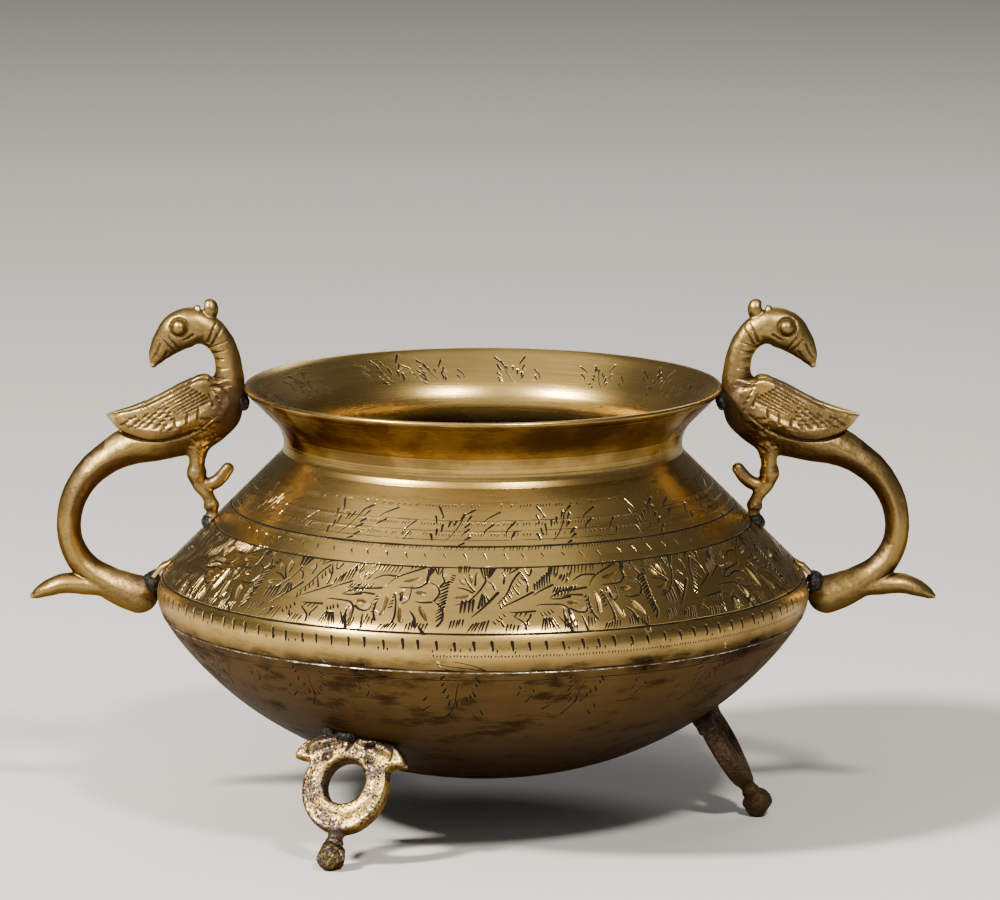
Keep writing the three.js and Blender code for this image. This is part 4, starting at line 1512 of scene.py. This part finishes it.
# ---- Materials ----
class Finish:
    """A material under construction. node() adds a shader node and gives back its first output."""

    def __init__(self, name):
        self.material = bpy.data.materials.new(name)
        self.material.use_nodes = True
        self.tree = self.material.node_tree
        self.shader = self.tree.nodes["Principled BSDF"]

    def node(self, kind, sockets=None, output=0, **settings):
        node = self.tree.nodes.new("ShaderNode" + kind)
        for key, value in settings.items():
            setattr(node, key, value)
        for key, value in (sockets or {}).items():
            self.plug(node.inputs[key], value)
        return node.outputs[output]

    def plug(self, socket, value):
        if isinstance(value, bpy.types.NodeSocket):
            self.tree.links.new(value, socket)
        else:
            socket.default_value = value

    def math(self, operation, a, b=0.0, clamp=False):
        return self.node("Math", {0: a, 1: b}, operation=operation, use_clamp=clamp)

    def times(self, a, b):
        return self.math("MULTIPLY", a, b)

    def total(self, start, *parts, clamp=False):
        """start and the parts added up. A part is a value and its weight, and so may start be."""
        result = self.times(*start) if isinstance(start, tuple) else start
        for part in parts:
            last = clamp and part is parts[-1]
            result = self.math("ADD", result, self.times(*part), last)
        return result

    def mix(self, share, a, b):
        """Two colours mixed by a share from 0 to 1."""
        return self.node("Mix", {"Factor": share, 6: a, 7: b}, output=2, data_type="RGBA")

    def remap(self, value, low, high, to_low=0.0, to_high=1.0):
        """A value from low..high, as a smooth step from to_low to to_high."""
        sockets = {"Value": value, "From Min": low, "From Max": high, "To Min": to_low, "To Max": to_high}
        return self.node("MapRange", sockets, interpolation_type="SMOOTHSTEP")

    def noise(self, place, scale, detail=3.0, roughness=0.55):
        sockets = {"Vector": place, "Scale": scale, "Detail": detail, "Roughness": roughness}
        return self.node("TexNoise", sockets)

    def place(self):
        """The place on the piece, in metres."""
        return self.node("TexCoord", output=3)

    def facing(self):
        """The direction the surface faces."""
        return self.node("TexCoord", output=1)

    def stretched(self, place, scale):
        return self.node("VectorMath", {0: place, 1: scale}, operation="MULTIPLY")

    def split(self, vector):
        node = self.tree.nodes.new("ShaderNodeSeparateXYZ")
        self.tree.links.new(vector, node.inputs[0])
        return node.outputs

    def value_of(self, name):
        return self.node("Attribute", output=2, attribute_name=name)

    def bump(self, height, strength, distance, below=None):
        sockets = {"Height": height, "Strength": strength, "Distance": distance}
        if below is not None:
            sockets["Normal"] = below
        return self.node("Bump", sockets)

    def finish(self, colour, roughness, metallic, normal):
        for key, value in (
            ("Base Color", colour),
            ("Roughness", roughness),
            ("Metallic", metallic),
            ("Normal", normal),
        ):
            self.plug(self.shader.inputs[key], value)
        return self.material


GOLD = (0.62, 0.42, 0.135, 1)
OLIVE = (0.36, 0.245, 0.08, 1)
BROWN = (0.15, 0.09, 0.035, 1)
PALE_GOLD = (0.78, 0.59, 0.26, 1)
BLUE_BLACK = (0.06, 0.055, 0.066, 1)
# A burnished edge's colour, also used as a painted highlight
BURNISHED_GLINT = (0.86, 0.66, 0.31, 1)
# The next two browns are painted shade colours, and they also stand for smoke and dirt
SHADE_AND_SMOKE_BROWN = (0.042, 0.021, 0.006, 1)
DEEP_SHADE_AND_DIRT_BROWN = (0.012, 0.006, 0.002, 1)
BLACK = (0.012, 0.010, 0.008, 1)
# The colour of soot and pits, which also paints the legs' shade
SOOT_AND_SHADE_BLACK = (0.032, 0.016, 0.006, 1)
WHITE = (1, 1, 1, 1)
DULL_BROWN = (0.12, 0.07, 0.03, 1)
AGED_EDGE = (0.62, 0.44, 0.22, 1)
SCRAPED, UNSCRAPED = (0.72, 0.69, 0.64, 1), (0.16, 0.11, 0.07, 1)
OLD_SOLDER, WORN_SOLDER = (0.02, 0.019, 0.018, 1), (0.2, 0.18, 0.15, 1)
FLOOR_LOW, FLOOR_HIGH = (0.72, 0.71, 0.69, 1), (0.76, 0.75, 0.73, 1)
SEAM_Z = seam_point[1] * MM
NECK_Z = neck_centre[1] * MM


def turned_brass():
    """Spun brass with fine lathe lines round it, browned with age, black in the cuts, and painted darker
    below and under the flare as shade, with smoke below.
    """
    brass = Finish("turned_brass")
    place = brass.place()
    x, y, z = brass.split(place)
    level = brass.stretched(place, (1, 1, 0))
    radius = brass.node("VectorMath", {0: level}, output=1, operation="LENGTH")
    radius = brass.math("MAXIMUM", radius, 0.004)
    # Round the pot the noise hardly changes, and across it it changes fast: lathe lines.
    across = brass.math("ADD", brass.times(radius, 0.7), z)
    sockets = {0: brass.math("DIVIDE", x, radius), 1: brass.math("DIVIDE", y, radius)}
    lathe = brass.node("CombineXYZ", {**sockets, 2: brass.times(across, 900.0)})
    fine_lathe = brass.noise(lathe, 1.3, 4.0, 0.7)
    broad_lathe = brass.noise(brass.stretched(lathe, (2.2, 2.2, 0.16)), 1.0, 2.0)
    patches = brass.noise(place, 38.0, 4.0)
    cloud = brass.noise(place, 11.0, 2.0)
    specks = brass.noise(place, 900.0, 2.0)
    streaks = brass.noise(brass.stretched(place, (1, 1, 3.2)), 55.0, 5.0, 0.68)

    # The cuts: black filling, browned scoops, and a bright burr beside each cut above the seam, burnish
    # with a painted highlight on it.
    fill = brass.value_of("fill")
    black = brass.remap(fill, 0.36, 0.62)
    scooped = brass.remap(fill, 0.06, 0.3)
    burnish_and_glint = brass.times(brass.remap(fill, 0.0, 0.04), brass.remap(fill, 0.06, 0.14, 1.0, 0.0))
    burnish_and_glint = brass.times(burnish_and_glint, brass.remap(z, SEAM_Z, SEAM_Z + 0.004))

    # Where the pot is painted darker: painted shade together with smoke under the belly and lowest down,
    # painted shade alone outside the flare where it faces down, and dirt in streaks and by the seam.
    # Painted shade and smoke: darker on the belly's lower turn and below it
    belly_shade_and_smoke = brass.remap(z, SEAM_Z - 0.002, SEAM_Z + 0.011, 1.0, 0.0)
    # Painted shade and smoke: darker still towards the bottom
    low_shade_and_smoke = brass.remap(z, 0.028, SEAM_Z - 0.004, 1.0, 0.0)
    facing = brass.facing()
    outward = brass.node("VectorMath", {0: facing, 1: level}, output=1, operation="DOT_PRODUCT")
    # Painted shade: the outside of the flare is painted darker where it faces down
    lip_shade = brass.times(brass.remap(z, NECK_Z - 0.008, NECK_Z), brass.remap(outward, 0.0, 0.01))
    lip_shade = brass.times(lip_shade, brass.remap(brass.split(facing)[2], -0.3, 0.55, 1.0, 0.0))
    lip_shade = brass.times(lip_shade, brass.remap(patches, 0.3, 0.6, 0.6, 1.0))
    from_seam = brass.math("ABSOLUTE", brass.math("SUBTRACT", z, SEAM_Z))
    by_seam = brass.remap(from_seam, 0.0006, 0.005, 1.0, 0.0)
    grime = brass.times(belly_shade_and_smoke, brass.remap(streaks, 0.5, 0.66))
    seam_dirt = brass.times(by_seam, brass.remap(patches, 0.42, 0.6))
    grime = brass.total((grime, 0.75), (seam_dirt, 0.7), clamp=True)

    age = brass.total((patches, 0.9), (cloud, 0.7), (broad_lathe, 0.5), (belly_shade_and_smoke, 0.3))
    colour = brass.mix(brass.remap(age, 0.85, 1.45), GOLD, OLIVE)
    colour = brass.mix(brass.remap(age, 1.25, 1.9), colour, BROWN)
    # Painted shade with smoke below the belly and lowest down, then painted shade under the flare
    colour = brass.mix(brass.times(belly_shade_and_smoke, 0.9), colour, SHADE_AND_SMOKE_BROWN)
    colour = brass.mix(brass.times(low_shade_and_smoke, 0.9), colour, DEEP_SHADE_AND_DIRT_BROWN)
    colour = brass.mix(brass.times(lip_shade, 0.82), colour, SHADE_AND_SMOKE_BROWN)
    colour = brass.mix(grime, colour, DEEP_SHADE_AND_DIRT_BROWN)
    colour = brass.mix(brass.times(scooped, 0.72), colour, BROWN)
    # Burnish and a painted highlight beside each cut
    colour = brass.mix(brass.times(burnish_and_glint, 0.9), colour, BURNISHED_GLINT)
    colour = brass.mix(black, colour, BLACK)

    rough = ((patches, 0.16), (fine_lathe, 0.1), (belly_shade_and_smoke, 0.2), (grime, 0.25), (black, 0.35))
    roughness = brass.total(0.15, *rough)
    metallic = brass.total(1.0, (black, -0.8), (belly_shade_and_smoke, -0.6), clamp=True)
    normal = brass.bump(fine_lathe, 0.22, 0.0002)
    normal = brass.bump(broad_lathe, 0.35, 0.0004, normal)
    normal = brass.bump(specks, 0.1, 0.0002, normal)
    # Painted shade: the reflections' tint is dulled to brown where the pot's shade is painted
    edge_tint = brass.mix(brass.math("MAXIMUM", belly_shade_and_smoke, lip_shade), WHITE, DULL_BROWN)
    brass.plug(brass.shader.inputs["Specular IOR Level"], 0.05)
    brass.plug(brass.shader.inputs["Specular Tint"], edge_tint)
    return brass.finish(colour, roughness, metallic, normal)


def cast_brass(name, patina):
    """Cast brass: pitted, brown in its hollows as grime and painted shade, black by the solder and in the
    legs' painted shade, and painted darker as shade where it faces down. patina adds blue-black patches.
    """
    brass = Finish(name)
    place = brass.place()
    patches = brass.noise(place, 60.0, 4.0)
    cloud = brass.noise(place, 21.0, 3.0)
    grain = brass.noise(place, 700.0, 4.0, 0.7)
    pits = brass.node("TexVoronoi", {"Vector": place, "Scale": 850.0})
    pit = brass.remap(pits, 0.15 + 0.14 * patina, 0.22 + 0.18 * patina, 1.0, 0.0)
    pit = brass.times(pit, brass.remap(patches, 0.4, 0.52, 0.2, 1.0))
    fill = brass.value_of("fill")
    hollow = brass.value_of("hollow")
    soot_and_shade = brass.value_of("soot_and_shade")
    edge = brass.value_of("edge")

    # The hollow value brings grime and painted shade into the recesses
    age = brass.total((hollow, 2.2), (patches, 1.1), (soot_and_shade, 1.2), (edge, -0.9))
    colour = brass.mix(brass.remap(cloud, 0.2, 0.5), GOLD, OLIVE)
    colour = brass.mix(brass.remap(edge, 0.12, 0.5, 0.0, 0.7), colour, PALE_GOLD)
    colour = brass.mix(brass.remap(age, 0.55, 1.0), colour, OLIVE)
    colour = brass.mix(brass.remap(age, 0.8, 1.5), colour, BROWN)
    # This channel holds soot, and on the legs painted shade too
    dark = brass.math("ADD", brass.remap(fill, 0.2, 0.9), brass.remap(soot_and_shade, 0.55, 1.25), clamp=True)
    stained = brass.math("ADD", patches, brass.times(soot_and_shade, 0.22))
    stain = brass.times(brass.remap(stained, 0.42, 0.6), brass.remap(grain, 0.4, 0.56))
    stain = brass.times(stain, patina)
    # Painted shade: faces that look down are painted darker
    painted_underside_shade = brass.remap(brass.split(brass.facing())[2], -0.7, 0.35, 1.0, 0.0)
    colour = brass.mix(stain, colour, BLUE_BLACK)
    colour = brass.mix(brass.times(pit, 0.35 + 0.6 * patina), colour, SOOT_AND_SHADE_BLACK)
    colour = brass.mix(brass.times(painted_underside_shade, 0.8), colour, SHADE_AND_SMOKE_BROWN)
    colour = brass.mix(brass.times(dark, 0.85), colour, SOOT_AND_SHADE_BLACK)

    roughness = brass.total(0.26, (grain, 0.22), (dark, 0.25), (stain, 0.2), clamp=True)
    metallic = brass.total(1.0, (dark, -0.6))
    normal = brass.bump(grain, 0.35, 0.0003)
    normal = brass.bump(pit, -0.4, 0.0003, normal)
    brass.plug(brass.shader.inputs["Specular Tint"], AGED_EDGE)
    return brass.finish(colour, roughness, metallic, normal)


def bright_solder():
    """Scraped solder: silvery on top, grey-brown beside it."""
    metal = Finish("bright_solder")
    place = metal.place()
    worn = metal.remap(metal.noise(place, 320.0, 3.0), 0.45, 0.6)
    colour = metal.mix(worn, UNSCRAPED, SCRAPED)
    roughness = metal.remap(worn, 0.0, 1.0, 0.5, 0.25)
    return metal.finish(colour, roughness, 1.0, metal.bump(worn, 0.2, 0.0002))


def solder_metal():
    """Old blackened solder, with a few dull bright spots."""
    metal = Finish("dark_solder")
    place = metal.place()
    grain = metal.noise(place, 500.0, 4.0, 0.7)
    worn = metal.remap(metal.noise(place, 260.0, 3.0), 0.58, 0.7)
    colour = metal.mix(worn, OLD_SOLDER, WORN_SOLDER)
    # Painted shade and grime: the solder is painted black in its hollows
    colour = metal.mix(metal.remap(metal.value_of("hollow"), 0.3, 0.8), colour, BLACK)
    roughness = metal.total(0.35, (grain, 0.4))
    return metal.finish(colour, roughness, 0.75, metal.bump(grain, 0.5, 0.0005))


# ---- Floor, light and camera ----
def stage():
    """The pale floor."""
    finish = Finish("floor_paint")
    tone = finish.noise(finish.place(), 3.0, 2.0)
    colour = finish.mix(tone, FLOOR_LOW, FLOOR_HIGH)
    normal = finish.bump(finish.noise(finish.place(), 160.0), 0.05, 0.001)
    finish.finish(colour, 0.75, 0.0, normal)
    bpy.ops.mesh.primitive_plane_add(size=16, location=(0, 0, 0))
    floor = bpy.context.object
    floor.name = "floor"
    floor.data.materials.append(finish.material)


def soft_box(name, place, size, power, colour):
    light = bpy.data.lights.new(name, "AREA")
    light.shape = "ELLIPSE"
    light.size, light.size_y = size
    light.energy = power
    light.color = colour
    box = bpy.data.objects.new(name, light)
    box.location = place
    aim = Vector((0, 0, 0.08)) - Vector(place)
    box.rotation_euler = aim.to_track_quat("-Z", "Y").to_euler()
    bpy.context.scene.collection.objects.link(box)


def lights():
    """Two small warm keys, which make the glints, and three large soft boxes."""
    warm, plain = (1.0, 0.93, 0.83), (1.0, 0.98, 0.95)
    soft_box("key_left", (-1.35, -0.95, 1.5), (0.3, 0.28), 104, warm)
    soft_box("key_front", (0.6, -1.45, 1.7), (0.3, 0.28), 46, warm)
    soft_box("overhead", (-0.3, -0.5, 2.1), (3.2, 2.6), 12, plain)
    soft_box("front", (-0.3, -3.2, 1.55), (4.4, 1.9), 13, plain)
    soft_box("behind", (0.3, 1.8, 1.5), (1.6, 0.7), 9, plain)
    world = bpy.data.worlds.new("studio")
    world.use_nodes = True
    background = world.node_tree.nodes["Background"].inputs
    background["Color"].default_value = (0.5, 0.49, 0.48, 1)
    background["Strength"].default_value = 0.15
    bpy.context.scene.world = world


def camera():
    """A long lens in front of the pot, a little above it and turned down to it."""
    lens = bpy.data.cameras.new("camera")
    lens.lens = 253.86
    lens.sensor_width = 36
    lens.shift_x = 0.017
    eye = bpy.data.objects.new("camera", lens)
    eye.location = (0, -2.5, 0.5598)
    eye.rotation_euler = (math.radians(80.32), 0, 0)
    bpy.context.scene.collection.objects.link(eye)
    bpy.context.scene.camera = eye


# ---- Assembly ----
camera()
lights()
stage()
pot_brass = turned_brass()
bird_brass = cast_brass("bird_brass", 0.3)
leg_brass = cast_brass("leg_brass", 1.0)
dark_solder = solder_metal()
basin(pot_brass)
shoulder(pot_brass)
neck_and_rim(pot_brass)
braze_fillet("belly_seam_spelter", "belly_seam_braze", BELLY_SEAM, bird_brass)
braze_fillet("neck_seam_spelter", "neck_seam_braze", NECK_SEAM, bird_brass)
seam_bead(bright_solder())
peacock_handles(bird_brass)
straps(bird_brass)
handle_solder(dark_solder)
for leg_name in LEG_FACING:
    leg(leg_name, leg_brass, dark_solder)
